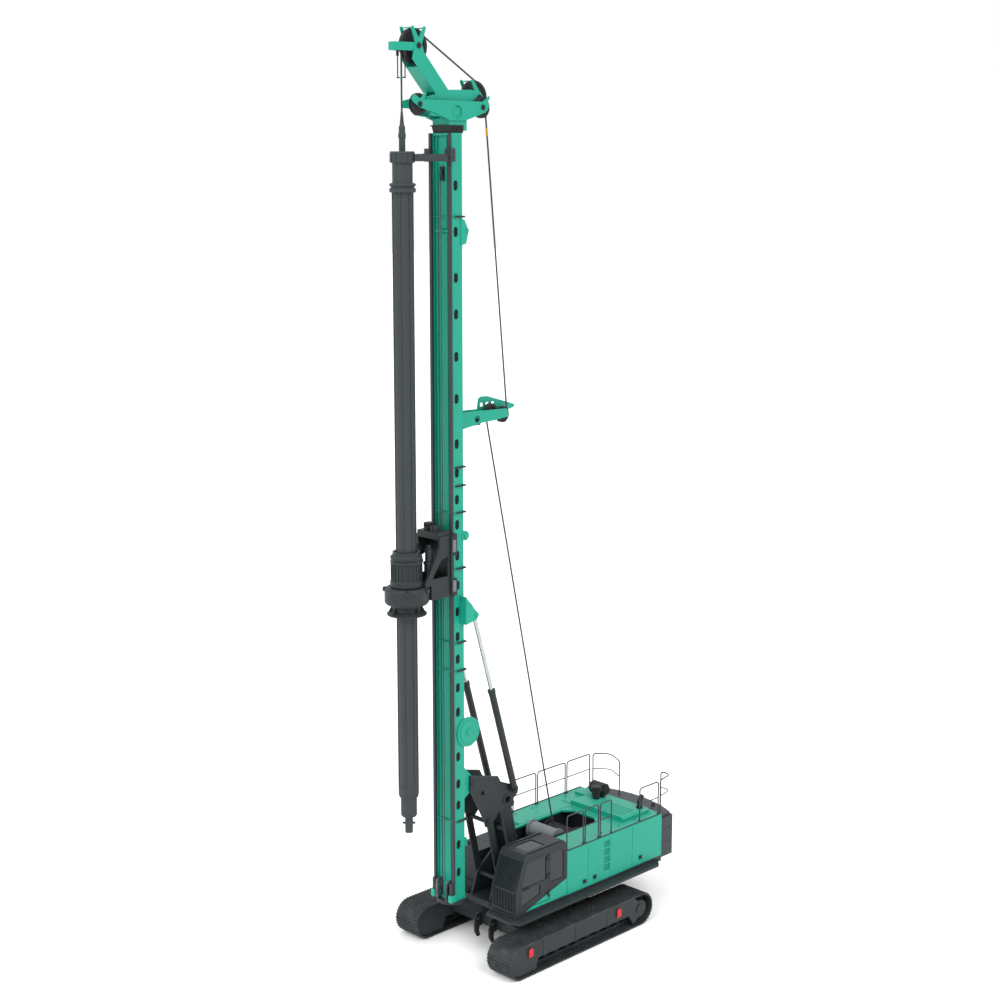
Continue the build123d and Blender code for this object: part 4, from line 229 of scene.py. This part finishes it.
TEAL = enamel("teal_enamel", "#15957D", "#0C8B74", "#7F9E95", 0.4, 0.2)
GRAPHITE = enamel("graphite_enamel", "#31373A", "#2A2F32", "#5C6062", 0.46, 0.25)
BLACK = enamel("black_enamel", "#191C1E", "#131618", "#45494B", 0.5, 0.25)
CHARCOAL = enamel("charcoal_enamel", "#23292B", "#1D2325", "#4B5052", 0.45, 0.25)
SMOKE = enamel("smoke_grey_enamel", "#6C7275", "#61676A", "#8B9092", 0.45, 0.25)
RED = enamel("marker_red_enamel", "#C8262B", "#B01F24", "#8E5A58", 0.4, 0.2)
# The tape, and the dark sheet that is painted shade in the mast's holes, fade, gather dust and show fine bumps in
# the same way, with less shine
AMBER = enamel("amber_tape", "#D08A2C", "#BE7B22", "#B09A78", 0.5, 0.1)
HOLE_SHADE = enamel("mast_hole_shade_black", "#0C0D0E", "#090A0B", "#2A2C2D", 0.7, 0.2)
TRACK = cast_steel("manganese_steel", "#303537", "#45494B", 0.6, 0.02)
RAIL = cast_steel("ground_rail_steel", "#3A3C3F", "#6A6D70", 0.5, 0.03)
CHROME = chrome("hard_chrome")
GLASS = tinted_glass("tinted_glass")
ZINC = zinc("galvanised_tube")
VINYL = vinyl("seat_vinyl")
ROPE = wire_rope("wire_rope")

FINISH = {"teal_paint": TEAL, "grey_paint": GRAPHITE, "black_paint": BLACK, "track_steel": TRACK,
          "rail_steel": ZINC, "chrome_rod": CHROME, "cab_glass_pane": GLASS, "seat_cover": VINYL}

DARKER = ("cab_shell", "cab_door", "cab_guard", "mast_cradle", "boom_arm", "front_links",
          "mast_cylinder_barrel", "boom_cylinder_barrel", "carriage", "rotary_drive", "drive_sleeve",
          "track_frame_left", "track_frame_right", "car_body", "upper_frame", "tank_box", "winch_frame")


def dress(node, material):
    """Gives a CAD node its finish."""
    mesh = NODES[node].data
    mesh.materials.clear()
    mesh.materials.append(material)


for node, slot in SLOT.items():
    dress(node, FINISH[slot])
for node in DARKER:
    dress(node, CHARCOAL)
for node in ("head_seat", "main_winch_drum"):
    dress(node, BLACK)
dress("aux_winch_drum", SMOKE)


# Surfaces

SHARP = math.radians(32)
# Units of a tube's map to each metre of its length, and to each radian round it
MAP_ALONG = 35.0
MAP_ROUND = 3.0


def piece(name, shapes, material, body, edge=0.0):
    """One finished piece from arrays of corners and faces, riding on its body, its faces turned
    outward and its sharp edges rounded by the given width."""
    corners, faces, maps, count = [], [], [], 0
    for points, quads, lay in shapes:
        corners.append(points)
        faces += [tuple(int(i) + count for i in quad) for quad in quads]
        maps.append(lay if lay is not None else np.zeros((len(points), 2)))
        count += len(points)
    mesh = bpy.data.meshes.new(name)
    mesh.from_pydata(np.concatenate(corners).tolist(), [], faces)
    solid = bmesh.new()
    solid.from_mesh(mesh)
    bmesh.ops.recalc_face_normals(solid, faces=solid.faces)
    solid.to_mesh(mesh)
    solid.free()
    layer = mesh.uv_layers.new(name="lay")
    index = np.zeros(len(mesh.loops), int)
    mesh.loops.foreach_get("vertex_index", index)
    layer.data.foreach_set("uv", np.concatenate(maps)[index].ravel())
    mesh.polygons.foreach_set("use_smooth", [True] * len(mesh.polygons))
    mesh.set_sharp_from_angle(angle=SHARP)
    mesh.materials.append(material)
    thing = bpy.data.objects.new(name, mesh)
    bpy.context.scene.collection.objects.link(thing)
    if edge:
        worn = thing.modifiers.new("edge", "BEVEL")
        worn.width = edge
        worn.segments = 2
        worn.limit_method = "ANGLE"
    if body:
        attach(thing, body)
    return thing


def closed_rings(rows, sides):
    """The faces of a surface with closed rings of points, numbered ring by ring: four-cornered faces
    between each two rings, and one flat face on the first and on the last ring."""
    i, j = np.meshgrid(np.arange(rows - 1), np.arange(sides), indexing="ij")
    k = (j + 1) % sides
    quads = np.stack([i * sides + j, i * sides + k, (i + 1) * sides + k, (i + 1) * sides + j], -1)
    last = (rows - 1) * sides
    ends = [tuple(range(sides))[::-1], tuple(range(last, last + sides))]
    return [tuple(quad) for quad in quads.reshape(-1, 4)] + ends


def tube(path, radius, sides=10):
    """A round tube: at each point of the path, radius times cosine along one normal plus radius times
    sine along the other. The first normal is carried on by removing its part along the new direction.
    The map of the tube is its length and its turn."""
    path = np.asarray(path, float)
    run = np.gradient(path, axis=0)
    run /= np.linalg.norm(run, axis=1)[:, None]
    across = np.cross(run[0], (0.0, 1.0, 0.0) if abs(run[0][1]) < 0.9 else (1.0, 0.0, 0.0))
    normals = []
    for direction in run:
        across = across - direction * (across @ direction)
        across = across / np.linalg.norm(across)
        normals.append(across)
    normals = np.array(normals)
    other = np.cross(run, normals)
    turn = np.linspace(0, 2 * math.pi, sides, endpoint=False)
    ring = normals[:, None] * np.cos(turn)[None, :, None] + other[:, None] * np.sin(turn)[None, :, None]
    points = path[:, None] + ring * radius
    length = np.concatenate([[0], np.cumsum(np.linalg.norm(np.diff(path, axis=0), axis=1))])
    lay = np.stack(np.broadcast_arrays(length[:, None] * MAP_ALONG, turn[None] * MAP_ROUND), -1)
    return points.reshape(-1, 3), closed_rings(len(path), sides), lay.reshape(-1, 2)


def turned(profile, origin, axis, sides=48):
    """A turned shape: each (radius, distance) of the profile is carried round the axis, radius times
    cosine along one normal plus radius times sine along the other."""
    profile = np.asarray(profile, float)
    axis = np.asarray(axis, float)
    first = np.cross(axis, (0.0, 0.0, 1.0) if abs(axis[2]) < 0.9 else (1.0, 0.0, 0.0))
    first /= np.linalg.norm(first)
    second = np.cross(axis, first)
    turn = np.linspace(0, 2 * math.pi, sides, endpoint=False)
    ring = first * np.cos(turn)[:, None] + second * np.sin(turn)[:, None]
    points = np.asarray(origin) + profile[:, 1, None, None] * axis + profile[:, 0, None, None] * ring[None]
    return points.reshape(-1, 3), closed_rings(len(profile), sides), None


def plate(outline, low, high, axis=1):
    """A plate of one thickness: its outline, in the two coordinates that aren't its axis, at both ends."""
    outline = np.asarray(outline, float)
    count = len(outline)
    ends = [np.insert(outline, axis, value, axis=1) for value in (low, high)]
    faces = [tuple(range(count)), tuple(range(count, 2 * count))[::-1]]
    faces += [(i, (i + 1) % count, (i + 1) % count + count, i + count) for i in range(count)]
    return np.concatenate(ends), faces, None


def block(x, y, z):
    """A block between two values of x, of y and of z."""
    return plate([(x[0], z[0]), (x[1], z[0]), (x[1], z[1]), (x[0], z[1])], y[0], y[1])


def about(middle, half):
    """The two ends of a span: its middle less half its width, and its middle plus half its width."""
    return middle - half, middle + half


def on_side(side, span):
    """A span of y on one side of the machine: each end times the side, 1 or -1."""
    return side * span[0], side * span[1]


def bolt(centre, axis, size):
    """A hexagon bolt head on its washer, both turned with six sides, standing on the given point."""
    washer = 0.004
    head = [(size * 1.25, -washer), (size * 1.25, washer), (size, 0.005), (size, washer + size * 0.7),
            (size * 0.8, washer + size * 0.9)]
    return turned(head, centre, axis, 6)


def cap(centre, axis, radius, height):
    """A turned pin end: a flange, a waist and a crowned face."""
    waist = radius * 0.78
    profile = [(radius, -0.01), (radius, height * 0.35), (waist, height * 0.45), (waist, height * 0.85),
               (radius * 0.66, height), (radius * 0.2, height * 1.04)]
    return turned(profile, centre, axis, 32)


def oval(x, z, width, height, steps=10):
    """An upright oval with half round ends, as an outline in (x, z)."""
    r = width / 2
    arc = [math.pi * i / steps for i in range(steps + 1)]
    upper = [(x + r * math.cos(a), z + height / 2 - r + r * math.sin(a)) for a in arc]
    lower = [(x - r * math.cos(a), z - height / 2 + r - r * math.sin(a)) for a in arc]
    return upper + lower


def rounded(points, radii, steps=8):
    """A line whose inner corners are replaced by parabolas: from the point a radius before the corner,
    to the point a radius after it, with the corner as the middle control point."""
    points = [np.asarray(point, float) for point in points]
    line = [points[0]]
    for before, corner, after, radius in zip(points, points[1:], points[2:], radii):
        enter = corner + (before - corner) * radius / np.linalg.norm(before - corner)
        leave = corner + (after - corner) * radius / np.linalg.norm(after - corner)
        for t in np.linspace(0, 1, steps + 1):
            line.append((1 - t) ** 2 * enter + 2 * t * (1 - t) * corner + t * t * leave)
    line.append(points[-1])
    return line


def surface_of(node):
    """A CAD node's surface, for finding where a line meets it."""
    mesh = NODES[node].data
    faces = [tuple(face.vertices) for face in mesh.polygons]
    return BVHTree.FromPolygons([vertex.co for vertex in mesh.vertices], faces)


def seat(surfaces, start, direction):
    """The first point where a line from start meets any of the surfaces, or None."""
    hits = [tree.ray_cast(Vector(start), Vector(direction)) for tree in surfaces]
    hits = [hit for hit in hits if hit[0] is not None]
    return min(hits, key=lambda hit: hit[3])[0] if hits else None


# Hoist rope

ROPE_RADIUS = 0.023
ROPE_DEPTH = 0.036
MAIN_RIM = 0.425
GUIDE_RIM = 0.22
DRUM_LAY = 0.3
MARKER_BAND = (22.53, 22.33)


def belt(wheels, step=5.0):
    """A taut line in (x, z) round wheels given as (x, z, radius, side), where side is 1 if the wheel's
    centre lies to the left of the run and -1 to the right. Between two wheels with centres D apart the
    run's angle is the angle of D less the arcsine of (side2 radius2 - side1 radius1) / |D|."""
    runs = []
    for (x1, z1, r1, s1), (x2, z2, r2, s2) in zip(wheels, wheels[1:]):
        apart = math.hypot(x2 - x1, z2 - z1)
        angle = math.atan2(z2 - z1, x2 - x1) - math.asin((s2 * r2 - s1 * r1) / apart)
        left = (-math.sin(angle), math.cos(angle))
        runs.append((angle, (x1 - s1 * r1 * left[0], z1 - s1 * r1 * left[1]),
                     (x2 - s2 * r2 * left[0], z2 - s2 * r2 * left[1])))
    line = [runs[0][1]]
    for (before, _, _), (after, _, _), (x, z, r, side) in zip(runs, runs[1:], wheels[1:]):
        sweep = (side * (after - before)) % (2 * math.pi)
        start = before - side * math.pi / 2
        count = max(2, int(math.degrees(sweep) / step))
        turns = [start + side * sweep * i / count for i in range(count + 1)]
        line += [(x + r * math.cos(turn), z + r * math.sin(turn)) for turn in turns]
    line.append(runs[-1][2])
    return [(x, 0.0, z) for x, z in line]


def wheel(name, radius, side):
    """A wheel of the rope's way, from its joint's place and its rope's radius."""
    place = JOINT[name]["pos_m"]
    return place[0], place[2], radius, side


def divide(path, step):
    """The path with more points on its straight runs, about a step apart."""
    points = [np.asarray(path[0], float)]
    for target in path[1:]:
        target = np.asarray(target, float)
        count = max(1, int(np.linalg.norm(target - points[-1]) / step))
        start = points[-1]
        points += [start + (target - start) * i / count for i in range(1, count + 1)]
    return points


KELLY_LINE = JOINT["kelly_spin"]["pos_m"][0]
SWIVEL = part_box("kelly_inner")[1].z
SOCKET = SWIVEL + 0.03
HEAD = wheel("head_sheave_spin", MAIN_RIM - ROPE_DEPTH, 1)
REAR = wheel("rear_sheave_spin", MAIN_RIM - ROPE_DEPTH, 1)
LOWER = wheel("guide_sheave_lower_spin", GUIDE_RIM - ROPE_DEPTH, 1)
UPPER = wheel("guide_sheave_upper_spin", GUIDE_RIM - ROPE_DEPTH, -1)
DRUM = wheel("main_winch_spin", DRUM_LAY, -1)

drop = [(KELLY_LINE, 0.0, HEAD[1]), (KELLY_LINE, 0.0, SOCKET)]
fall = piece("hoist_rope_fall", [tube(divide(drop, 0.2), ROPE_RADIUS)], ROPE, None)
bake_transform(fall)
eye = [(KELLY_LINE, 0.0, SOCKET), (KELLY_LINE, 0.0, SWIVEL - 0.01)]
tail = piece("hoist_rope_eye", [tube(eye, ROPE_RADIUS)], ROPE, None)
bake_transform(tail)

# The way starts below the head sheave, on the fall's line, and the mast's rope starts level with its axle
way = belt([(KELLY_LINE, HEAD[1] - 0.5, 0.0, 1), HEAD, REAR, LOWER, UPPER, DRUM])
top = next(i for i, point in enumerate(way) if point[2] >= HEAD[1] - 1e-6)
piece("hoist_rope_mast", [tube(divide(way[top:-1], 0.5), ROPE_RADIUS)], ROPE, "mast")

# The marker band is on the straight run that starts at the last bend above it
bend = max(i for i, point in enumerate(way) if point[2] > MARKER_BAND[0])
start, end = np.array(way[bend]), np.array(way[bend + 1])
band = [start + (end - start) * (start[2] - z) / (start[2] - end[2]) for z in MARKER_BAND]
piece("rope_marker_band", [tube(band, ROPE_RADIUS + 0.006, 16)], AMBER, "mast")

run = [way[-2], way[-1]]
lead = piece("hoist_rope_lead", [tube(divide(run, 0.3), ROPE_RADIUS)], ROPE, None)
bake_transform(lead)


# Winch drums and crowd ropes

DRUM_HALF = 0.48
WOUND_RADIUS = 0.286
DRUM_RADIUS = 0.262
CROWD_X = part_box("mast_rails")[1].x - 0.092
CROWD_Y = (-0.045, 0.045)
CROWD_LOW = 2.4
CROWD_HIGH = 21.2
CROWD_RADIUS = 0.011


def winding(half, low, high, diameter):
    """Rope wound on a drum, as a profile: the radius is high plus half a diameter times the size of
    the sine of pi times the distance over the diameter, one hump a turn, and low at both ends."""
    y = np.arange(-half, half, diameter / 6)
    radius = high + 0.5 * diameter * np.abs(np.sin(math.pi * (y + half) / diameter))
    return [(low, -half)] + list(zip(radius, y)) + [(low, half)]


def on_winch(joint, profile):
    """A profile turned about a winch's axle."""
    x, _, z = JOINT[joint]["pos_m"]
    return turned(profile, (x, 0, z), ACROSS)


wound = winding(DRUM_HALF, DRUM_RADIUS, WOUND_RADIUS, 2 * ROPE_RADIUS)
piece("main_drum_winding", [on_winch("main_winch_spin", wound)], ROPE, "main_drum")

# A smooth sleeve with a shallow groove round its middle and slanted ends, the same on both sides
sleeve = [(0.213, 0.012), (0.218, 0.02), (0.218, 0.46), (0.212, 0.48), (0.192, 0.485)]
cover = [(radius, -y) for radius, y in sleeve[::-1]] + sleeve
piece("aux_drum_cover", [on_winch("aux_winch_spin", cover)], SMOKE, "aux_drum")

for side, y in zip(("right", "left"), CROWD_Y):
    path = [(CROWD_X, y, CROWD_LOW), (CROWD_X, y, CROWD_HIGH)]
    piece("crowd_rope_" + side, [tube(divide(path, 1.0), CROWD_RADIUS, 8)], ROPE, "mast")


# Painted shade in the mast's holes: dark plates set inside them, standing for the shade within the holes

MAST_FOOT = 1.85
# Heights of the holes' centres above the mast's foot
HOLES = (0.82, 1.61, 2.74, 3.34, 4.11, 5.36, 6.04, 6.83, 7.45, 8.13, 8.85, 9.65, 10.48, 11.15, 11.86,
         12.62, 13.8, 14.89, 15.98, 16.91, 18.07, 19.23)
HOLE_X = 2.95
HOLE_WIDTH = 0.146
HOLE_HEIGHT = 0.256
SHADE_FACES = (0.3205, 0.33)

shades = []
for z in HOLES:
    outline = oval(HOLE_X, MAST_FOOT + z, HOLE_WIDTH, HOLE_HEIGHT)
    shades += [plate(outline, *on_side(side, SHADE_FACES)) for side in SIDES]
# Dark plates that are painted shade inside the mast's holes
piece("mast_hole_painted_shade", shades, HOLE_SHADE, "mast", 0.002)


# Corner panels, markers and latches

BODY_SIDE = 1.634
PANEL_FACES = (BODY_SIDE, 1.6405)
CAB_WEDGE = [(-0.003, 1.5), (1.64, 1.5), (1.37, 1.586), (0.704, 1.586), (0.704, 1.79), (-0.003, 2.0)]
DOOR_WEDGE = [(0.742, 1.604), (1.31, 1.604), (0.742, 1.78)]
MARKERS = (2.08, -1.53)
MARKER_HALF = 0.085
MARKER_FACES = (2.258, 2.282)
LATCHES = ((-0.755, 1.67), (-1.185, 1.68), (-3.175, 1.69))
LATCH_FACES = (BODY_SIDE, 1.654)
LATCH_KNOB = [(0.03, 0), (0.03, 0.012), (0.018, 0.016)]

piece("cab_corner_panel", [plate(CAB_WEDGE, *PANEL_FACES)], TEAL, "upper", 0.002)
piece("door_corner_panel", [plate(DOOR_WEDGE, *PANEL_FACES)], TEAL, "door", 0.002)

marks = []
for x in MARKERS:
    rear, front = about(x, MARKER_HALF)
    outline = [(rear, 0.55), (front, 0.53), (front, 0.74), (x + 0.03, 0.79), (rear, 0.77)]
    marks += [plate(outline, *on_side(side, MARKER_FACES)) for side in SIDES]
piece("side_marker_blocks", marks, RED, "undercarriage", 0.008)

latches = []
for x, z in LATCHES:
    for side in SIDES:
        latches.append(block(about(x, 0.062), on_side(side, LATCH_FACES), about(z, 0.055)))
        latches.append(turned(LATCH_KNOB, (x, side * 1.65, z), (0, side, 0), 20))
piece("housing_latches", latches, BLACK, "upper", 0.008)


# Winch well and deck

WELL_X = (-2.61, -0.08)
WELL_SIDE = 0.752
RIM_SIDE = 0.665
RIM_REAR = (-2.61, -2.5)
RIM_Z = (2.7, 2.765)
DECK = 2.77
EDGE_REAR = -4.12
EDGE_FRONT = {1: -0.05, -1: -0.6}
EDGE_Y = (1.585, 1.615)
EDGE_Z = (DECK - 0.008, DECK + 0.02)
BOLTS_REAR = -3.9
BOLTS_FRONT = {1: -0.3, -1: -0.7}
BOLT_PITCH = 0.72
BOLT_Y = 1.38

# Painted shade: dark sheets inside the winch well's sides and rear, standing for the shade in the well
well_shade = [block(WELL_X, on_side(side, (WELL_SIDE, WELL_SIDE - 0.012)), (1.49, 2.66)) for side in SIDES]
well_shade.append(block((-2.62, -2.605), (-0.74, 0.74), (1.6, 2.72)))
piece("winch_well_painted_shade", well_shade, BLACK, "upper", 0.002)

rim = [block(WELL_X, on_side(side, (RIM_SIDE, WELL_SIDE)), RIM_Z) for side in SIDES]
rim.append(block(RIM_REAR, (-RIM_SIDE, RIM_SIDE), RIM_Z))
for side in SIDES:
    gusset = [(RIM_REAR[1], side * 0.66), (RIM_REAR[1], side * 0.42), (-2.26, side * 0.66)]
    rim.append(plate(gusset, *RIM_Z, 2))
piece("winch_well_rim", rim, TEAL, "upper", 0.006)

eaves = [block((EDGE_REAR, EDGE_FRONT[side]), on_side(side, EDGE_Y), EDGE_Z) for side in SIDES]
piece("deck_edge_strips", eaves, CHARCOAL, "upper", 0.004)

fasteners = []
for side in SIDES:
    for x in np.arange(BOLTS_REAR, BOLTS_FRONT[side], BOLT_PITCH):
        fasteners.append(bolt((x, side * BOLT_Y, DECK), UP, 0.018))
piece("deck_bolts", fasteners, CHARCOAL, "upper")


# Mast head and rope bracket

PIN_CAPS = (("head_sheave_spin", 0.075, SIDES), ("rear_sheave_spin", 0.075, SIDES),
            ("aux_front_sheave_spin", 0.07, (1,)), ("aux_rear_sheave_spin", 0.07, (1,)))
STOP_Z = HEAD[1] - 0.13
STOP_Y = 0.135
STOP_ROD = 0.0145
STOP_FOOT = (STOP_Z - 0.658, STOP_Z - 0.628)
STOP_NUT = [(0.03, -0.122), (0.035, -0.118), (0.035, 0.0), (0.03, 0.001)]

head = [surface_of("mast_head")]
pins = []
for joint, radius, sides in PIN_CAPS:
    x, _, z = JOINT[joint]["pos_m"]
    pins += [cap(seat(head, (x, side, z), (0, -side, 0)), (0, side, 0), radius, 0.04) for side in sides]
piece("head_pin_caps", pins, BLACK, "mast")

hangers = []
for y in (-STOP_Y, STOP_Y):
    hangers.append(tube([(KELLY_LINE, y, STOP_Z - 0.65), (KELLY_LINE, y, STOP_Z - 0.1)], STOP_ROD, 12))
    hangers.append(turned(STOP_NUT, (KELLY_LINE, y, STOP_Z), UP, 24))
for side in SIDES:
    hangers.append(block(about(KELLY_LINE, 0.015), on_side(side, (0.053, 0.157)), STOP_FOOT))
piece("rope_stop_frame", hangers, BLACK, "mast", 0.002)

trunk = [block((1.86, 2.2), (-0.135, 0.135), (14.84, 15.0)),
         block((2.0, 2.12), (-0.09, 0.09), (15.0, 15.06))]
piece("bracket_block", trunk, BLACK, "mast", 0.008)


# Handrails

RAIL_TOP = DECK + 0.99
RAIL_MID = DECK + 0.5
RAIL_Y = 1.54
RAIL_TUBE = 0.019
POST_BEND = 0.1
PANEL_BEND = 0.25
ABOVE_BODY = 3.5
PANELS = {"near_cab": [(-0.1, RAIL_Y), (-0.78, RAIL_Y)],
          "near_louvre": [(-0.86, RAIL_Y), (-1.42, RAIL_Y)],
          "near_well": [(-1.5, RAIL_Y), (-1.97, RAIL_Y)],
          "near_hood": [(-3.22, RAIL_Y), (-4.06, RAIL_Y)],
          "near_tail": [(-4.2, 1.5), (-4.82, 1.38), (-4.76, 1.05)],
          "far_tank": [(-1.08, -RAIL_Y), (-2.05, -RAIL_Y)],
          "far_well": [(-2.13, -RAIL_Y), (-3.34, -RAIL_Y)],
          "far_hood": [(-3.42, -RAIL_Y), (-4.45, -RAIL_Y)],
          "far_tail": [(-4.56, -1.5), (-4.93, -1.1), (-4.6, -0.45)]}

tops = [surface_of(node) for node in ("housing_left", "housing_right", "engine_hood", "counterweight")]
rails = []
for feet in PANELS.values():
    stands = [seat(tops, (x, y, ABOVE_BODY), DOWN) for x, y in (feet[0], feet[-1])]
    bends = [PANEL_BEND] * (len(feet) - 2)
    hoop = [stands[0]] + [(x, y, RAIL_TOP) for x, y in feet] + [stands[1]]
    rails.append(tube(rounded(hoop, [POST_BEND] + bends + [POST_BEND]), RAIL_TUBE))
    rails.append(tube(rounded([(x, y, RAIL_MID) for x, y in feet], bends), RAIL_TUBE * 0.8))
    rails += [cap(stand, UP, 0.045, 0.016) for stand in stands]
fence = piece("deck_handrails", rails, GRAPHITE, "upper")
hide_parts("handrails")


# Mast fittings

JOINT_HEIGHTS = (4.13, 8.36, 9.13, 11.15, 12.65, 13.36, 13.85, 20.3)
BAND_HALF = 0.021
FOOT_RING = [(0.34, 1.753), (0.428, 1.753), (0.436, 1.762), (0.436, 1.846), (0.428, 1.856), (0.34, 1.856)]
FOOT_X = 2.85
FOOT_TOP = 1.87
FOOT_GUIDE = [(3.02, FOOT_TOP), (3.28, FOOT_TOP), (3.28, 2.35), (3.24, 2.42), (3.02, 2.42)]
RECESS = 2.99

bands = []
for z in JOINT_HEIGHTS:
    for side in SIDES:
        bands.append(block((2.69, 3.02), on_side(side, (0.352, 0.404)), about(z, BAND_HALF)))
        bands += [bolt((x, side * 0.402, z), (0, side, 0), 0.016) for x in (2.76, 2.86, 2.96)]
    bands.append(block((2.66, 2.74), (-0.4, 0.4), about(z, BAND_HALF)))
piece("mast_joint_bands", bands, CHARCOAL, "mast", 0.004)

piece("mast_foot_ring", [turned(FOOT_RING, (FOOT_X, 0, 0), UP, 64)], CHARCOAL, "mast")

guides = [plate(FOOT_GUIDE, *on_side(side, (0.15, 0.225))) for side in SIDES]
piece("foot_guides", guides, RAIL, "mast", 0.008)
shoes = [block((3.1, 3.28), on_side(side, (0.275, 0.415)), (FOOT_TOP, 2.06)) for side in SIDES]
piece("rail_foot_shoes", shoes, TEAL, "mast", 0.01)

anchor = [block((RECESS, 3.1), (-0.07, 0.07), (CROWD_HIGH, 21.56)),
          block((RECESS, 3.13), (-0.05, 0.05), (21.29, 21.47))]
anchor += [bolt((3.1, y, z), FORWARD, 0.018) for y in CROWD_Y for z in (21.24, 21.52)]
piece("crowd_rope_anchor", anchor, CHARCOAL, "mast", 0.006)

bridge = [block((RECESS, 3.11), (-0.24, 0.24), (19.915, 19.965)),
          block((RECESS, 3.125), (-0.06, 0.06), (19.88, 20.0))]
piece("rope_guide_bridge", bridge, TEAL, "mast", 0.006)


# Lid on the right housing

LID_X = (-3.18, -2.82)
LID_Y = (-1.2, -0.84)
BOLT_INSET = 0.04

roof = seat(tops, (-3.0, -1.0, ABOVE_BODY), DOWN).z
lid = [block(LID_X, LID_Y, (roof - 0.004, roof + 0.018))]
for x in (LID_X[0] + BOLT_INSET, LID_X[1] - BOLT_INSET):
    for y in (LID_Y[0] + BOLT_INSET, LID_Y[1] - BOLT_INSET):
        lid.append(bolt((x, y, roof + 0.016), UP, 0.014))
piece("housing_lid", lid, TEAL, "upper", 0.006)


# Carriage and rotary drive

PADS = ((11.66, 11.98), (10.6, 10.9))
PAD_X = (3.13, 3.24)
PAD_BOLT_INSET = 0.05
VALVE_X = (3.36, 3.56)
PLUG_Y = (-0.23, -0.15, -0.07)
PLUG_RISES = (0.06, 0.14)
ABOVE_CARRIAGE = 13.0
STUDS = 36
STUD_CIRCLE = 0.545
CASE_TOP = 10.86
ABOVE_DRIVE = 12.5

carriage = [surface_of("carriage")]
pads = []
for side in SIDES:
    for low, high in PADS:
        face = seat(carriage, (3.187, side * 1.0, (low + high) / 2), (0, -side, 0)).y
        pads.append(block(PAD_X, (face - side * 0.004, face + side * 0.012), (low, high)))
        for z in (low + PAD_BOLT_INSET, high - PAD_BOLT_INSET):
            pads.append(bolt((3.185, face + side * 0.01, z), (0, side, 0), 0.014))
piece("carriage_wear_pads", pads, SMOKE, "sledge", 0.004)

beam = seat(carriage, (3.45, -0.12, ABOVE_CARRIAGE), DOWN).z
valves = [block(VALVE_X, (-0.28, -0.02), (beam - 0.005, beam + 0.19))]
for y in PLUG_Y:
    valves += [cap((VALVE_X[1], y, beam + rise), FORWARD, 0.026, 0.03) for rise in PLUG_RISES]
piece("carriage_valve_block", valves, BLACK, "sledge", 0.006)

# A ring of studs, left out where the carriage or another part of the drive covers the case
drive = [surface_of("rotary_drive")] + carriage
studs = []
for i in range(STUDS):
    turn = 2 * math.pi * i / STUDS
    over = (KELLY_LINE + STUD_CIRCLE * math.cos(turn), STUD_CIRCLE * math.sin(turn), ABOVE_DRIVE)
    at = seat(drive, over, DOWN)
    if at is not None and abs(at.z - CASE_TOP) < 0.02:
        studs.append(bolt(at, UP, 0.02))
piece("drive_case_bolts", studs, BLACK, "sledge")


# Floor, light and camera

# For each sun its strength, its width in degrees and the way to it
SUNS = {"key": (1.4, 30, (0.1, 1.0, 1.1)), "fill": (1.6, 40, (1.0, 0.05, 0.8))}
# The camera as solved from the photograph, its focal length in pixels of a picture 1000 pixels wide
SENSOR = 36.0
FOCAL_PIXELS = 1740.881
IMAGE_PIXELS = 1000.0
EYE = (33.748, 32.743, 21.559)
GAZE = (-0.69447, -0.69445, -0.18830)


def slab(name, low, high, material):
    """A flat sheet between two corners, level with the lower one."""
    corners = [low, (high[0], low[1], low[2]), (high[0], high[1], low[2]), (low[0], high[1], low[2])]
    mesh = bpy.data.meshes.new(name)
    mesh.from_pydata(corners, [], [(0, 1, 2, 3)])
    mesh.materials.append(material)
    thing = bpy.data.objects.new(name, mesh)
    bpy.context.scene.collection.objects.link(thing)
    return thing


# White studio paper
paper, paper_shader, _ = surface("studio_paper", 0.9)
paper_shader.inputs["Base Color"].default_value = linear("#F6F6F6")
slab("studio_floor", (-300, -300, 0), (300, 300, 0), paper)

world = bpy.data.worlds.new("studio")
bpy.context.scene.world = world
world.use_nodes = True
sky = world.node_tree.nodes["Background"]
sky.inputs["Color"].default_value = (1.0, 1.0, 1.0, 1.0)
sky.inputs["Strength"].default_value = 1.0
bpy.context.scene.view_settings.view_transform = "Standard"

for name, (energy, spread, towards) in SUNS.items():
    sun = bpy.data.objects.new(name, bpy.data.lights.new(name, "SUN"))
    sun.data.energy = energy
    sun.data.angle = math.radians(spread)
    sun.rotation_euler = Vector(towards).to_track_quat("Z", "Y").to_euler()
    bpy.context.scene.collection.objects.link(sun)

camera = bpy.data.objects.new("camera", bpy.data.cameras.new("camera"))
camera.data.sensor_width = SENSOR
camera.data.lens = FOCAL_PIXELS * SENSOR / IMAGE_PIXELS
camera.data.clip_end = 2000.0
camera.location = EYE
camera.rotation_euler = Vector(GAZE).to_track_quat("-Z", "Y").to_euler()
bpy.context.scene.collection.objects.link(camera)
bpy.context.scene.camera = camera
